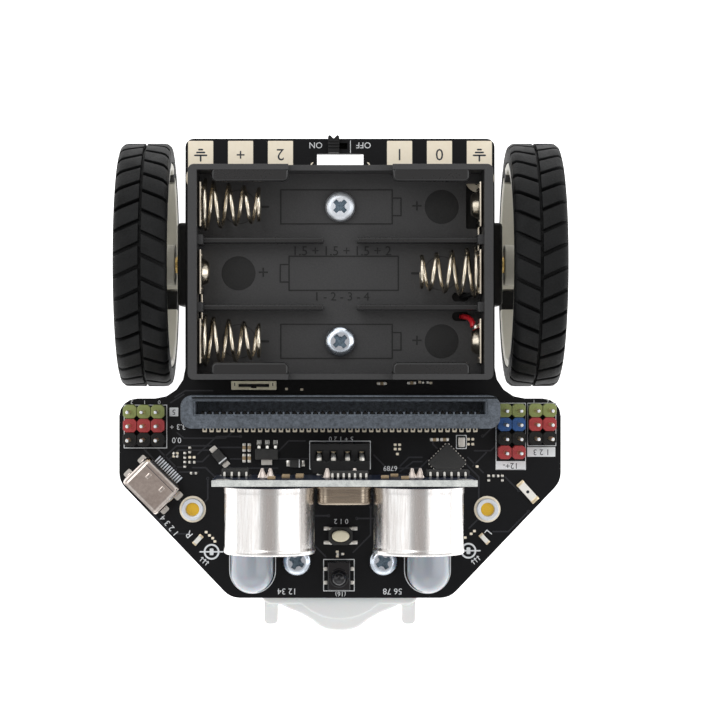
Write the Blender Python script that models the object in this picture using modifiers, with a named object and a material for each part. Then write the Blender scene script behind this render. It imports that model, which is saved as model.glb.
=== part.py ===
"""Two-wheeled line follower robot with a battery box, a plug-in distance sensor and a ball caster.

The frame: origin on the floor under the middle of the robot, +Z up, the front at -Y, so the robot's
own left is +X. Lengths below are millimetres; MM turns them into Blender's metres.
"""

import math

import bmesh
import bpy
from mathutils import Matrix, Vector

MM = 0.001
GAP = 0.3
SIDES = (("left", 1), ("right", -1))

# Circuit board
BOARD_TOP = 29.1
BOARD_THICK = 1.6
BOARD_LOW = BOARD_TOP - BOARD_THICK
ON_BOARD = BOARD_TOP + GAP
UNDER_BOARD = BOARD_LOW - GAP
BOARD_REAR = 44.9
BOARD_FRONT = -39.14
NECK_HALF = 28.3
WING_HALF = 40.4
WING_REAR = -2.65
NOSE_HALF = 20.05
CHAMFER_START = -17.8

# Wheels and drive
AXLE_Y = 22.0
AXLE_Z = 22.5
TYRE_R = 22.5
TYRE_BORE_R = 19.1
TYRE_IN = 30.9
TYRE_OUT = 40.4
TYRE_ROUND = 1.4
RIM_R = 18.9
RIM_WALL = 1.4
RIM_IN = 31.0
RIM_OUT = 40.0
WEB_THICK = 1.5
WEB_WINDOWS = 6
WEB_WINDOW_ANGLE = 30.0
WEB_WINDOW_R = (6.5, 15.0)
HUB_R = 3.75
HUB_IN = 30.45
KEY_COUNT = 4
KEY_WIDTH = 3.7
KEY_LENGTH = 4.6
KEY_FIRST_ANGLE = 250.0
WHEEL_STEPS = 36
SHAFT_R = 1.5
SHAFT_END = 38.4
SHAFT_BORE_R = 1.8
BUSH_R = 2.0
BUSH_END = 30.1
GEARBOX = (19.3, 28.3)
GEARBOX_HALF_Y = 6.0
GEARBOX_Z = (17.5, 27.2)
GEARBOX_PLATE = 0.8
CAN = (4.3, 19.0)
CAN_WALL = 1.2
ROTOR_R = 3.9
ROTOR_BORE_R = 4.3
ROTOR_SHAFT_R = 0.45
MODULE = 0.18
PINION_TEETH = 9
WHEEL_TEETH = 27
FIRST_STAGE = (20.5, 22.2)
SECOND_STAGE = (23.0, 25.4)
BRACKET = (20.6, 29.9)
BRACKET_HALF_Y = 7.65
BRACKET_LOW = 15.6
BRACKET_WALL = 1.3

# Battery box: three cells side by side
BOX_HALF = 27.2
BOX_Y = (0.9, 39.3)
BOX_TOP = 42.1
BOX_FLOOR = 1.6
BOX_SIDE = 1.6
BOX_END = 1.0
BOX_INNER = BOX_HALF - BOX_SIDE
CELL_ROWS = (32.3, 20.2, 7.8)
CELL_Z = 36.2
DIVIDERS_Y = (26.0, 13.9)
DIVIDER_TOP = 36.6
DIVIDER_THICK = 0.9
DIVIDER_END = 3.05
LIP_X = (9.3, 23.0)
LIP_REACH = 2.1
LIP_THICK = 1.5
WALL_DIP = 2.6
PLATE_THICK = 0.4
PLATE_OUT = BOX_INNER - GAP
SPRING_WIRE_R = 0.35
SPRING_BASE_R = 4.5
SPRING_TIP_R = 2.6
SPRING_LENGTH = 9.6
SPRING_TURNS = 4.75
SPRING_BASE_TURN = 0.5
SPRING_TIP_TURN = 0.75
SPRING_STEPS = 12

# Connectors
EDGE_HALF = 28.6
EDGE_Y = (-7.86, -1.93)
EDGE_TOP = 39.8
EDGE_SLOT_HALF = 26.0
EDGE_SLOT_Y = (-5.31, -3.02)
EDGE_SLOT_FLOOR = 31.2
PITCH = 2.54
PIN = 0.64
HEADER_BASE = 2.5
PIN_TOP = 38.2
USB_AT = (-34.3, -18.55)
USB_SIZE = (8.8, 7.2, 3.2)
SOCKET_Y = (-15.3, -10.7)
SOCKET_TOP = 37.6
SOCKET_PIN_Y = -12.65

# Distance sensor
SENSOR_X = 0.55
SENSOR_HALF = 22.7
SENSOR_Y = (-17.2, -16.1)
SENSOR_Z = (40.4, 60.8)
EYE_X = 13.0
EYE_Z = 50.6
EYE_R = 8.0
EYE_FRONT = -29.4

# Caster
BALL_R = 7.5
BALL_Y = -33.0
CUP_R = 10.3
CASTER_SCREW = (7.9, -32.4)
NOSE_TIP = -45.4
TAB_X = (11.4, 13.95)
TAB_TIP = -44.3

PARTS = None
CUTTERS = None


def new_collection(name):
    made = bpy.data.collections.new(name)
    bpy.context.scene.collection.children.link(made)
    return made


def finish(name, colour, roughness, metallic=0.0):
    """A Principled material, made once for each name."""
    material = bpy.data.materials.get(name)
    if material:
        return material
    material = bpy.data.materials.new(name)
    material.use_nodes = True
    shader = material.node_tree.nodes["Principled BSDF"]
    shader.inputs["Base Color"].default_value = (*colour, 1.0)
    shader.inputs["Roughness"].default_value = roughness
    shader.inputs["Metallic"].default_value = metallic
    return material


def board_mask():
    return finish("board_mask", (0.018, 0.022, 0.03), 0.38)


def black_plastic():
    return finish("black_plastic", (0.03, 0.03, 0.034), 0.5)


def box_plastic():
    return finish("box_plastic", (0.055, 0.055, 0.06), 0.45)


def rubber():
    return finish("tyre_rubber", (0.02, 0.02, 0.022), 0.75)


def rim_plastic():
    return finish("rim_plastic", (0.66, 0.64, 0.57), 0.45)


def steel():
    return finish("zinc_steel", (0.72, 0.76, 0.82), 0.25, 1.0)


def nickel():
    return finish("spring_nickel", (0.80, 0.74, 0.62), 0.25, 1.0)


def brass():
    return finish("brass", (0.85, 0.62, 0.25), 0.3, 1.0)


def aluminium():
    return finish("sensor_aluminium", (0.86, 0.86, 0.87), 0.25, 1.0)


def white_plastic():
    return finish("caster_plastic", (0.86, 0.87, 0.88), 0.4)


class Shape:
    """A bmesh that primitives are added to, in millimetres."""

    def __init__(self):
        self.mesh = bmesh.new()

    def box(self, low, high):
        low = Vector(low) * MM
        high = Vector(high) * MM
        place = Matrix.Translation((low + high) / 2) @ Matrix.Diagonal((*(high - low), 1))
        bmesh.ops.create_cube(self.mesh, size=1, matrix=place)
        return self

    def rod(self, start, end, radius, end_radius=None, sides=20):
        start = Vector(start) * MM
        end = Vector(end) * MM
        turn = (end - start).to_track_quat("Z", "Y").to_matrix().to_4x4()
        bmesh.ops.create_cone(
            self.mesh,
            cap_ends=True,
            segments=sides,
            radius1=radius * MM,
            radius2=(radius if end_radius is None else end_radius) * MM,
            depth=(end - start).length,
            matrix=Matrix.Translation((start + end) / 2) @ turn,
        )
        return self

    def ball(self, centre, radius, sides=20):
        place = Matrix.Translation(Vector(centre) * MM)
        bmesh.ops.create_uvsphere(
            self.mesh, u_segments=sides, v_segments=sides // 2, radius=radius * MM, matrix=place
        )
        return self

    def turn(self, angle, about):
        """Turns everything added so far about an upright line through the point, in degrees."""
        centre = Vector((*about, 0)) * MM
        spin = Matrix.Rotation(math.radians(angle), 3, "Z")
        bmesh.ops.rotate(self.mesh, cent=centre, matrix=spin, verts=self.mesh.verts)
        return self

    def made(self, name, origin=(0, 0, 0)):
        """A mesh object whose origin is the given point."""
        bmesh.ops.translate(self.mesh, verts=self.mesh.verts, vec=-Vector(origin) * MM)
        data = bpy.data.meshes.new(name)
        self.mesh.to_mesh(data)
        self.mesh.free()
        made = bpy.data.objects.new(name, data)
        made.location = Vector(origin) * MM
        return made


def part(made, material):
    PARTS.objects.link(made)
    made.data.materials.append(material)
    return made


def solid(name, shape, material, origin=(0, 0, 0)):
    return part(shape.made(name, origin), material)


def boolean(target, tool, operation):
    if tool.name not in CUTTERS.objects:
        CUTTERS.objects.link(tool)
    tool.hide_render = True
    tool.display_type = "WIRE"
    modifier = target.modifiers.new(f"{operation.lower()}_{tool.name}", "BOOLEAN")
    modifier.operation = operation
    modifier.object = tool
    modifier.solver = "EXACT"


def cut(target, shape, what="opening"):
    boolean(target, shape.made(f"{target.name}_{what}"), "DIFFERENCE")
    return target


def fuse(target, shape, what="extra"):
    boolean(target, shape.made(f"{target.name}_{what}"), "UNION")
    return target


def bevel(target, width, segments=2):
    modifier = target.modifiers.new("rounded_edges", "BEVEL")
    modifier.width = width * MM
    modifier.segments = segments
    modifier.limit_method = "ANGLE"
    modifier.angle_limit = math.radians(40)
    return target


def circle(centre, radius, sides=16):
    steps = (2 * math.pi * i / sides for i in range(sides))
    return [(centre[0] + radius * math.cos(a), centre[1] + radius * math.sin(a)) for a in steps]


def rectangle(low, high):
    return [low, (high[0], low[1]), high, (low[0], high[1])]


def rounded(corners, steps=4):
    """An outline from (x, y, radius) corners, each replaced by an arc that meets both edges."""
    outline = []
    for i, (x, y, radius) in enumerate(corners):
        corner = Vector((x, y))
        if not radius:
            outline.append((x, y))
            continue
        before = (Vector(corners[i - 1][:2]) - corner).normalized()
        after = (Vector(corners[(i + 1) % len(corners)][:2]) - corner).normalized()
        half = before.angle(after) / 2
        centre = corner + (before + after).normalized() * (radius / math.sin(half))
        first = corner + before * (radius / math.tan(half)) - centre
        sweep = first.angle_signed(corner + after * (radius / math.tan(half)) - centre)
        for step in range(steps + 1):
            turned = first.copy()
            turned.rotate(Matrix.Rotation(-sweep * step / steps, 2))
            outline.append(tuple(centre + turned))
    return outline


def flat(name, outlines, thick):
    """A flat outline with its holes, as thick as given, made a mesh lying on its lower face."""
    curve = bpy.data.curves.new(name, "CURVE")
    curve.dimensions = "2D"
    curve.fill_mode = "BOTH"
    curve.extrude = thick / 2 * MM
    for outline in outlines:
        spline = curve.splines.new("POLY")
        spline.points.add(len(outline) - 1)
        for point, (x, y) in zip(spline.points, outline):
            point.co = (x * MM, y * MM, 0, 1)
        spline.use_cyclic_u = True
    drawn = bpy.data.objects.new(name + "_outline", curve)
    made = mesh_of(drawn, name)
    made.data.transform(Matrix.Translation((0, 0, thick / 2 * MM)))
    return made


def mesh_of(drawn, name):
    """The curve's evaluated mesh as a new object, its caps welded; the curve is removed."""
    bpy.context.scene.collection.objects.link(drawn)
    graph = bpy.context.evaluated_depsgraph_get()
    data = bpy.data.meshes.new_from_object(drawn.evaluated_get(graph))
    data.name = name
    work = bmesh.new()
    work.from_mesh(data)
    bmesh.ops.remove_doubles(work, verts=work.verts, dist=0.00001)
    bmesh.ops.recalc_face_normals(work, faces=work.faces)
    work.to_mesh(data)
    work.free()
    made = bpy.data.objects.new(name, data)
    made.matrix_world = drawn.matrix_world
    bpy.data.objects.remove(drawn, do_unlink=True)
    return made


def plate(name, outlines, low, high, material):
    made = flat(name, outlines, high - low)
    made.location.z = low * MM
    return part(made, material)


def turned(name, profile, material, at, along, steps=24):
    """A (radius, height) profile, listed from its top down, spun about the line through a point."""
    data = bpy.data.meshes.new(name)
    closed = profile[0][0] > 0
    points = [(radius * MM, 0, height * MM) for radius, height in profile]
    edges = [(i, i + 1) for i in range(len(points) - 1)]
    if closed:
        edges.append((len(points) - 1, 0))
    data.from_pydata(points, edges, [])
    made = bpy.data.objects.new(name, data)
    made.location = Vector(at) * MM
    made.rotation_euler = Vector(along).to_track_quat("Z", "Y").to_euler()
    screw = made.modifiers.new("turned", "SCREW")
    screw.steps = steps
    screw.render_steps = steps
    screw.use_merge_vertices = True
    screw.merge_threshold = 0.00001
    return part(made, material)


def wire(name, points, radius, material):
    """A round wire along the points, with closed ends."""
    curve = bpy.data.curves.new(name, "CURVE")
    curve.dimensions = "3D"
    curve.bevel_depth = radius * MM
    curve.bevel_resolution = 0
    curve.use_fill_caps = True
    spline = curve.splines.new("POLY")
    spline.points.add(len(points) - 1)
    for point, place in zip(spline.points, points):
        point.co = (*(Vector(place) * MM), 1)
    return part(bpy.data.objects.new(name, curve), material)


def make_board():
    half = [
        (NECK_HALF, BOARD_REAR, 1.5),
        (NECK_HALF, WING_REAR, 5.6),
        (WING_HALF, WING_REAR, 3.2),
        (WING_HALF, CHAMFER_START, 4.0),
        (NOSE_HALF, BOARD_FRONT, 4.0),
    ]
    corners = half + [(-x, y, radius) for x, y, radius in reversed(half)]
    holes = [rectangle((-4.2, 37.9), (4.3, 42.1)), rectangle((-1.75, 43.0), (1.35, 44.1))]
    holes += [circle((0, CELL_ROWS[0]), 1.7), circle((0, CELL_ROWS[2]), 1.7)]
    holes += [circle((side * CASTER_SCREW[0], CASTER_SCREW[1]), 1.5, 16) for _, side in SIDES]
    holes += [circle((side * 26.95, -22.9), 1.7, 16) for _, side in SIDES]
    plate("main_board", [rounded(corners)] + holes, BOARD_LOW, BOARD_TOP, board_mask())


def make_battery_box():
    floor_top = ON_BOARD + BOX_FLOOR
    box = Shape().box((-BOX_HALF, BOX_Y[0], ON_BOARD), (BOX_HALF, BOX_Y[1], BOX_TOP))
    box = bevel(solid("battery_box", box, box_plastic()), 0.9, 2)
    inner_low = (-BOX_INNER, BOX_Y[0] + BOX_END, floor_top)
    inner_high = (BOX_INNER, BOX_Y[1] - BOX_END, BOX_TOP + 5)
    cut(box, Shape().box(inner_low, inner_high), "cavity")
    ribs = Shape()
    for y in DIVIDERS_Y:
        low, high = y - DIVIDER_THICK / 2, y + DIVIDER_THICK / 2
        ribs.box((-BOX_INNER - 0.4, low, floor_top - 0.4), (-DIVIDER_END, high, DIVIDER_TOP))
        ribs.box((DIVIDER_END, low, floor_top - 0.4), (BOX_INNER + 0.4, high, DIVIDER_TOP))
    fuse(box, ribs, "dividers")
    lips = Shape()
    for end, inward in ((BOX_Y[1], -1), (BOX_Y[0], 1)):
        edge = sorted((end + inward * 0.5, end + inward * (BOX_END + LIP_REACH)))
        for side in (-1, 1):
            span = sorted((side * LIP_X[0], side * LIP_X[1]))
            top = BOX_TOP - 0.1
            lips.box((span[0], edge[0], top - LIP_THICK), (span[1], edge[1], top))
    fuse(box, lips, "cell_lips")
    openings = Shape()
    dip = BOX_TOP - WALL_DIP
    openings.box((-LIP_X[0], BOX_Y[0] - 2, dip), (LIP_X[0], BOX_Y[0] + 2.6, BOX_TOP + 2))
    openings.box((-LIP_X[0], BOX_Y[1] - 2.6, dip), (LIP_X[0], BOX_Y[1] + 2, BOX_TOP + 2))
    below, above = ON_BOARD - 1, floor_top + 1
    openings.box((22.96, 28.3, below), (25.45, 36.6, above))
    for y in (15.9, 12.35):
        openings.box((20.4, y - 0.85, below), (23.5, y + 0.85, above))
    for y in (CELL_ROWS[0], CELL_ROWS[2]):
        openings.rod((0, y, below), (0, y, above), 1.7, sides=16)
    strip_top = floor_top + 3.6
    for side, y in ((-1, DIVIDERS_Y[1]), (1, DIVIDERS_Y[0])):
        span = sorted((side * (BOX_INNER + 0.01), side * (BOX_INNER - 1.3)))
        openings.box((span[0], y - 1, floor_top + 0.01), (span[1], y + 1, strip_top))
    cut(box, openings, "openings")


def spring_points(base_x, y, toward):
    """A conical helix with closed ends, from its wide base towards +X or -X."""
    count = int(SPRING_TURNS * SPRING_STEPS)
    open_turns = SPRING_TURNS - SPRING_BASE_TURN - SPRING_TIP_TURN
    points = []
    for i in range(count + 1):
        share = i / count
        radius = SPRING_BASE_R + (SPRING_TIP_R - SPRING_BASE_R) * share
        angle = 2 * math.pi * SPRING_TURNS * share
        rise = (SPRING_TURNS * share - SPRING_BASE_TURN) / open_turns
        x = base_x + toward * SPRING_LENGTH * min(max(rise, 0), 1)
        points.append((x, y + radius * math.cos(angle), CELL_Z + radius * math.sin(angle)))
    return points


def contact_plate(name, side, shapes, button_y):
    """A stamped sheet contact against a side wall, made of the (y, z) areas given, with a button."""
    sheet = sorted((side * PLATE_OUT, side * (PLATE_OUT - PLATE_THICK)))
    (y_low, y_high, z_high), *more = shapes
    z_low = ON_BOARD + BOX_FLOOR + GAP
    made = Shape().box((sheet[0], y_low, z_low), (sheet[1], y_high, z_high))
    made = solid(name, made, nickel())
    for i, (y_low, y_high, z_high) in enumerate(more):
        area = Shape().box((sheet[0], y_low, z_low), (sheet[1], y_high, z_high))
        fuse(made, area, f"area_{i}")
    if button_y is not None:
        face = side * (PLATE_OUT - PLATE_THICK / 2)
        tip = face - side * 1.3
        button = Shape().rod((face, button_y, CELL_Z), (tip, button_y, CELL_Z), 2.6, 1.9, 20)
        fuse(made, button, "button")
    return made


def make_contacts():
    rear, middle, front = CELL_ROWS
    top = CELL_Z + 3.8
    link = ON_BOARD + BOX_FLOOR + 3.2
    contact_plate("rear_negative_contact", -1, [(rear - 4, rear + 4, top)], None)
    areas = [(front - 4, front + 4, top), (middle - 4, middle + 4, top), (front, middle, link)]
    contact_plate("front_link_contact", -1, areas, middle)
    areas = [(middle - 4, middle + 4, top), (rear - 4, rear + 4, top), (middle, rear, link)]
    contact_plate("rear_link_contact", 1, areas, rear)
    contact_plate("front_positive_contact", 1, [(front - 4, front + 4, top)], front)
    base = PLATE_OUT - PLATE_THICK - GAP - SPRING_WIRE_R
    for name, x, y in (("rear", -base, rear), ("middle", base, middle), ("front", -base, front)):
        toward = -math.copysign(1, x)
        wire(f"{name}_cell_spring", spring_points(x, y, toward), SPRING_WIRE_R, nickel())
    red = finish("red_wire", (0.6, 0.03, 0.03), 0.4)
    route = [(24.0, 10.4, 34.6), (23.9, 11.2, 34.2), (23.4, 12.0, 33.2), (22.6, 12.3, 31.8)]
    wire("battery_wire_red", route + [(22.2, 12.35, 29.9)], 0.5, red)
    black = finish("black_wire", (0.02, 0.02, 0.02), 0.4)
    route = [(24.2, 16.6, 33.0), (23.7, 16.3, 32.6), (22.9, 16.0, 31.6), (22.3, 15.9, 29.9)]
    wire("battery_wire_black", route, 0.45, black)


def screw(name, x, y, seat, head_r, head_h, shank_r, end):
    """A pan head screw with a cross recess, its head resting on the seat height."""
    profile = [
        (0, head_h),
        (head_r * 0.45, head_h * 0.97),
        (head_r * 0.85, head_h * 0.72),
        (head_r, head_h * 0.35),
        (head_r * 0.97, 0),
        (shank_r, 0),
        (shank_r, end - seat),
        (0, end - seat),
    ]
    made = turned(name, profile, steel(), (x, y, seat), (0, 0, 1), 16)
    deep, high = seat + head_h * 0.45, seat + head_h + 1
    cross = Shape().box((x - 1.35, y - 0.3, deep), (x + 1.35, y + 0.3, high))
    cut(made, cross, "cross_a")
    cross = Shape().box((x - 0.3, y - 1.35, deep), (x + 0.3, y + 1.35, high))
    cut(made, cross, "cross_b")


def make_fasteners():
    seat = ON_BOARD + BOX_FLOOR + GAP
    screw("rear_box_screw", 0, CELL_ROWS[0], seat, 2.75, 1.8, 1.35, 25.0)
    screw("front_box_screw", 0, CELL_ROWS[2], seat, 2.75, 1.8, 1.35, 25.0)
    for name, side in SIDES:
        x, y = side * CASTER_SCREW[0], CASTER_SCREW[1]
        screw(f"{name}_caster_screw", x, y, ON_BOARD, 2.65, 1.7, 1.1, 19.0)
        x, y = side * 26.95, -22.9
        profile = [
            (1.25, 30.4),
            (2.0, 30.4),
            (2.0, ON_BOARD),
            (1.4, ON_BOARD),
            (1.4, BOARD_LOW),
            (0, BOARD_LOW),
        ]
        turned(f"{name}_board_nut", [(0, 29.7), (1.25, 29.7)] + profile,
                     steel(), (x, y, 0), (0, 0, 1), 20)


def make_edge_connector():
    half, (low, high) = EDGE_HALF, EDGE_Y
    corners = [(-half, low, 2.0), (half, low, 2.0), (half, high, 2.0), (-half, high, 2.0)]
    made = plate("edge_connector", [rounded(corners, 4)], ON_BOARD, EDGE_TOP, black_plastic())
    slot_low = (-EDGE_SLOT_HALF, EDGE_SLOT_Y[0], EDGE_SLOT_FLOOR)
    cut(made, Shape().box(slot_low, (EDGE_SLOT_HALF, EDGE_SLOT_Y[1], EDGE_TOP + 2)), "slot")


def pin_header(name, first_x, columns, first_y, rows):
    """A block of upright square pins, its rows running forwards."""
    edge = PITCH / 2 - 0.02
    last_x = first_x + (columns - 1) * PITCH
    last_y = first_y - (rows - 1) * PITCH
    base_top = ON_BOARD + HEADER_BASE
    low = (first_x - edge, last_y - edge, ON_BOARD)
    block = Shape().box(low, (last_x + edge, first_y + edge, base_top))
    made = solid(name, block, black_plastic())
    pins = Shape()
    for column in range(columns):
        for row in range(rows):
            x, y = first_x + column * PITCH, first_y - row * PITCH
            low = (x - PIN / 2, y - PIN / 2, ON_BOARD + 0.5)
            pins.box(low, (x + PIN / 2, y + PIN / 2, PIN_TOP))
    fuse(made, pins, "pins")


def make_connectors():
    pin_header("right_port_header", -38.29, 3, -5.0, 3)
    pin_header("bus_port_header", 30.0, 2, -4.78, 4)
    pin_header("servo_port_header", 35.6, 2, -4.75, 3)
    width, deep, tall = USB_SIZE
    x, y = USB_AT
    low = (x - width / 2, y - deep / 2, ON_BOARD)
    shell = Shape().box(low, (x + width / 2, y + deep / 2, ON_BOARD + tall)).turn(-45, USB_AT)
    shell = bevel(solid("usb_shell", shell, steel()), 1.1, 3)
    wall = 0.3
    low = (x - width / 2 + wall, y - deep / 2 - 2, ON_BOARD + wall)
    high = (x + width / 2 - wall, y + deep / 2 - wall, ON_BOARD + tall - wall)
    cavity = Shape().box(low, high).turn(-45, USB_AT).made("usb_shell_mouth")
    boolean(shell, bevel(cavity, 0.85, 3), "DIFFERENCE")
    middle = ON_BOARD + tall / 2
    low = (x - 3.3, y - 2.6, middle - 0.35)
    tongue = Shape().box(low, (x + 3.3, y + deep / 2 - wall - GAP, middle + 0.35))
    solid("usb_tongue", tongue.turn(-45, USB_AT), black_plastic())
    socket = Shape().box((-19.8, -1.05, ON_BOARD), (-11.6, 0.6, 32.4))
    cream = finish("cream_plastic", (0.85, 0.82, 0.68), 0.45)
    made = solid("battery_socket", socket, cream)
    cut(made, Shape().box((-19.2, -0.65, 30.4), (-12.2, 0.2, 34.0)), "well")
    box = Shape().box((-5.3, SOCKET_Y[0], ON_BOARD), (5.3, SOCKET_Y[1], SOCKET_TOP))
    made = solid("sensor_socket", box, black_plastic())
    wells = Shape()
    for i in range(4):
        x = (i - 1.5) * PITCH
        low = (x - 0.65, SOCKET_PIN_Y - 0.65, ON_BOARD + 1.2)
        wells.box(low, (x + 0.65, SOCKET_PIN_Y + 0.65, SOCKET_TOP + 1))
    cut(made, wells, "wells")


def lens_profile(radius, length, flange):
    """Half a lamp's outline from the tip of its dome down to its flange."""
    dome = []
    for i in range(7):
        angle = math.radians(90 - i * 15)
        dome.append((radius * math.cos(angle), length - radius + radius * math.sin(angle)))
    dome[0] = (0, length)
    return dome + [(radius, 1.2), (flange, 1.2), (flange, 0), (0, 0)]


def make_board_pieces():
    lens = finish("lamp_lens", (0.72, 0.72, 0.78), 0.35)
    for name, side in SIDES:
        turned(f"{name}_lamp", lens_profile(3.9, 10.85, 3.95), lens, (side * 16, -27, 33.4), (0, -1, 0), 20)
        sensor = Shape().box((side * 23.5 - 2.6, -32.4, 23.6), (side * 23.5 + 2.6, -28.6, UNDER_BOARD))
        solid(f"{name}_line_sensor", sensor, black_plastic())
    body = Shape().box((-2.1, -29.35, ON_BOARD), (2.3, -26.05, 30.9))
    body = solid("key_switch_body", body, steel())
    cut(body, Shape().box((-1.65, -28.95, 30.1), (1.85, -26.45, 32.0)), "well")
    key = Shape().rod((0, 0, 0), (0, 0, 1.2), 1.0, sides=24)
    bmesh.ops.scale(key.mesh, vec=(1.6, 1.05, 1), verts=key.mesh.verts)
    key = key.made("key_button")
    key.location = Vector((0.1, -27.7, 30.45)) * MM
    part(key, finish("key_plastic", (0.78, 0.72, 0.58), 0.45))
    receiver = Shape().box((-2.3, -37.6, ON_BOARD), (1.9, -32.4, 31.4))
    receiver = solid("ir_receiver", receiver, black_plastic())
    fuse(receiver, Shape().ball((-0.2, -35.3, 31.2), 1.5, 12), "dome")
    chip = Shape().box((-15.5, -13.8, ON_BOARD), (-11.3, -11.75, 30.9))
    solid("voltage_regulator", chip, black_plastic())
    chip = Shape().box((17.1, -16.8, ON_BOARD), (22.1, -11.8, 30.3)).turn(45, (19.6, -14.3))
    solid("controller_chip", chip, black_plastic())


def make_power_switch():
    body = Shape().box((-4.3, 42.2, 25.7), (4.0, 44.8, UNDER_BOARD))
    body = solid("power_switch_body", body, steel())
    cut(body, Shape().box((-1.9, 43.0, 26.1), (1.5, 44.1, 28.0)), "track")
    knob = Shape().box((-2.2, 42.2, ON_BOARD), (-0.15, 45.4, 30.9))
    knob = solid("switch_knob", knob, black_plastic(), (-1.2, 43.55, ON_BOARD))
    fuse(knob, Shape().box((-1.6, 43.25, 26.5), (-0.8, 43.85, ON_BOARD + 0.4)), "stem")
    notch = Shape().box((-0.55, -0.55, 29), (0.55, 0.55, 31.5)).turn(45, (0, 0))
    bmesh.ops.translate(notch.mesh, verts=notch.mesh.verts, vec=Vector((-1.17, 45.6, 0)) * MM)
    cut(knob, notch, "notch")


def gear_outline(teeth, phase):
    """Trapezoid teeth about the origin; the phase is the first tooth's angle from +Y towards +Z."""
    pitch_r = MODULE * teeth / 2
    tip, root = pitch_r + 0.75 * MODULE, pitch_r - MODULE
    step = 2 * math.pi / teeth
    points = []
    for i in range(teeth):
        middle = math.radians(phase) + i * step
        for radius, offset in ((root, -0.28), (tip, -0.13), (tip, 0.13), (root, 0.28)):
            angle = middle + offset * step
            points.append((-radius * math.sin(angle), radius * math.cos(angle)))
    return points


def gear(name, teeth, phase, span, centre, material):
    """A gear on an axle along X, between two distances from the robot's middle."""
    made = flat(name, [gear_outline(teeth, phase)], span[1] - span[0])
    made.location = Vector((span[0], *centre)) * MM
    made.rotation_euler = (0, math.radians(90), 0)
    return part(made, material)


def make_drive(name, side):
    """One geared motor: case, frame, rotor with its pinion, idler, and output shaft with its gear."""
    def span(near, far):
        return tuple(sorted((side * near, side * far)))

    def along(x, y=AXLE_Y, z=AXLE_Z):
        return (side * x, y, z)

    low, high = GEARBOX_Z
    near, far = span(*CAN)
    half = GEARBOX_HALF_Y
    can = Shape().box((near, AXLE_Y - half, low), (far, AXLE_Y + half, high))
    can = bevel(solid(f"{name}_motor_can", can, steel()), 1.5, 2)
    cut(can, Shape().rod(along(CAN[0] + CAN_WALL), along(CAN[1] - CAN_WALL), ROTOR_BORE_R), "bore")
    cut(can, Shape().rod(along(CAN[1] - CAN_WALL - 1), along(CAN[1] + 1), 1.3, sides=16), "bearing")
    near, far = span(GEARBOX[0], GEARBOX[0] + GEARBOX_PLATE)
    frame = Shape().box((near, AXLE_Y - half, low), (far, AXLE_Y + half, high))
    frame = solid(f"{name}_gearbox_frame", frame, brass())
    near, far = span(GEARBOX[0] + 0.2, GEARBOX[1] - 0.2)
    posts = Shape()
    for y, z in ((-half + 1, high - 1), (half - 1, high - 1), (side * (half - 1), low + 1)):
        posts.rod((near, AXLE_Y + y, z), (far, AXLE_Y + y, z), 0.8, sides=12)
    fuse(frame, posts, "posts")
    near, far = span(GEARBOX[1] - GEARBOX_PLATE, GEARBOX[1])
    front = Shape().box((near, AXLE_Y - half, low), (far, AXLE_Y + half, high))
    fuse(frame, front, "front_plate")
    fuse(frame, Shape().rod(along(GEARBOX[1] - 0.4), along(BUSH_END), BUSH_R), "bush")
    cut(frame, Shape().rod(along(GEARBOX[1] - 3), along(BUSH_END + 2), SHAFT_BORE_R), "bush_bore")
    cut(frame, Shape().rod(along(GEARBOX[0] - 1), along(GEARBOX[0] + 1.5), 1.3, sides=16), "rotor_hole")
    near, far = span(*BRACKET)
    half = BRACKET_HALF_Y
    bracket = Shape().box((near, AXLE_Y - half, BRACKET_LOW), (far, AXLE_Y + half, UNDER_BOARD))
    bracket = bevel(solid(f"{name}_motor_bracket", bracket, black_plastic()), 0.6, 1)
    near, far = span(BRACKET[0] - 2, BRACKET[1] - BRACKET_WALL)
    half -= BRACKET_WALL
    pocket = Shape().box((near, AXLE_Y - half, low - GAP), (far, AXLE_Y + half, UNDER_BOARD + 2))
    cut(bracket, pocket, "pocket")
    cut(bracket, Shape().rod(along(BRACKET[1] - 3), along(BRACKET[1] + 2), BUSH_R + GAP), "shaft_hole")

    middle = (AXLE_Y, AXLE_Z)
    reach = MODULE * (PINION_TEETH + WHEEL_TEETH) / 2
    lean = 225 if side > 0 else 315
    toward = math.radians(lean)
    idler_at = (AXLE_Y + reach * math.cos(toward), AXLE_Z + reach * math.sin(toward))
    half_tooth = 180 / WHEEL_TEETH
    near, far = span(*FIRST_STAGE)
    rotor = gear(f"{name}_rotor", PINION_TEETH, lean, (near, far), middle, steel())
    shaft = Shape().rod(along(CAN[0] + 1.6), along(FIRST_STAGE[1] - 0.2), ROTOR_SHAFT_R, sides=12)
    fuse(rotor, shaft, "shaft")
    fuse(rotor, Shape().rod(along(7.5), along(16.5), ROTOR_R), "armature")
    phase = lean + 180 + half_tooth
    idler = gear(f"{name}_idler_gear", WHEEL_TEETH, phase, (near, far), idler_at, brass())
    small_near, small_far = span(FIRST_STAGE[1] - 0.2, SECOND_STAGE[1])
    small = flat(f"{name}_idler_pinion", [gear_outline(PINION_TEETH, lean + 180)], small_far - small_near)
    small.location = Vector((small_near, *idler_at)) * MM
    small.rotation_euler = (0, math.radians(90), 0)
    boolean(idler, small, "UNION")
    near, far = span(*SECOND_STAGE)
    shaft = gear(f"{name}_output_shaft", WHEEL_TEETH, lean + half_tooth, (near, far), middle, steel())
    fuse(shaft, Shape().rod(along(SECOND_STAGE[0] + 0.2), along(SHAFT_END), SHAFT_R), "shaft")
    near, far = span(BUSH_END + 0.4, SHAFT_END + 1)
    flat_cut = Shape().box((near, AXLE_Y - 3, AXLE_Z + 1.0), (far, AXLE_Y + 3, AXLE_Z + 3))
    cut(shaft, flat_cut, "flat")


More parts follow.
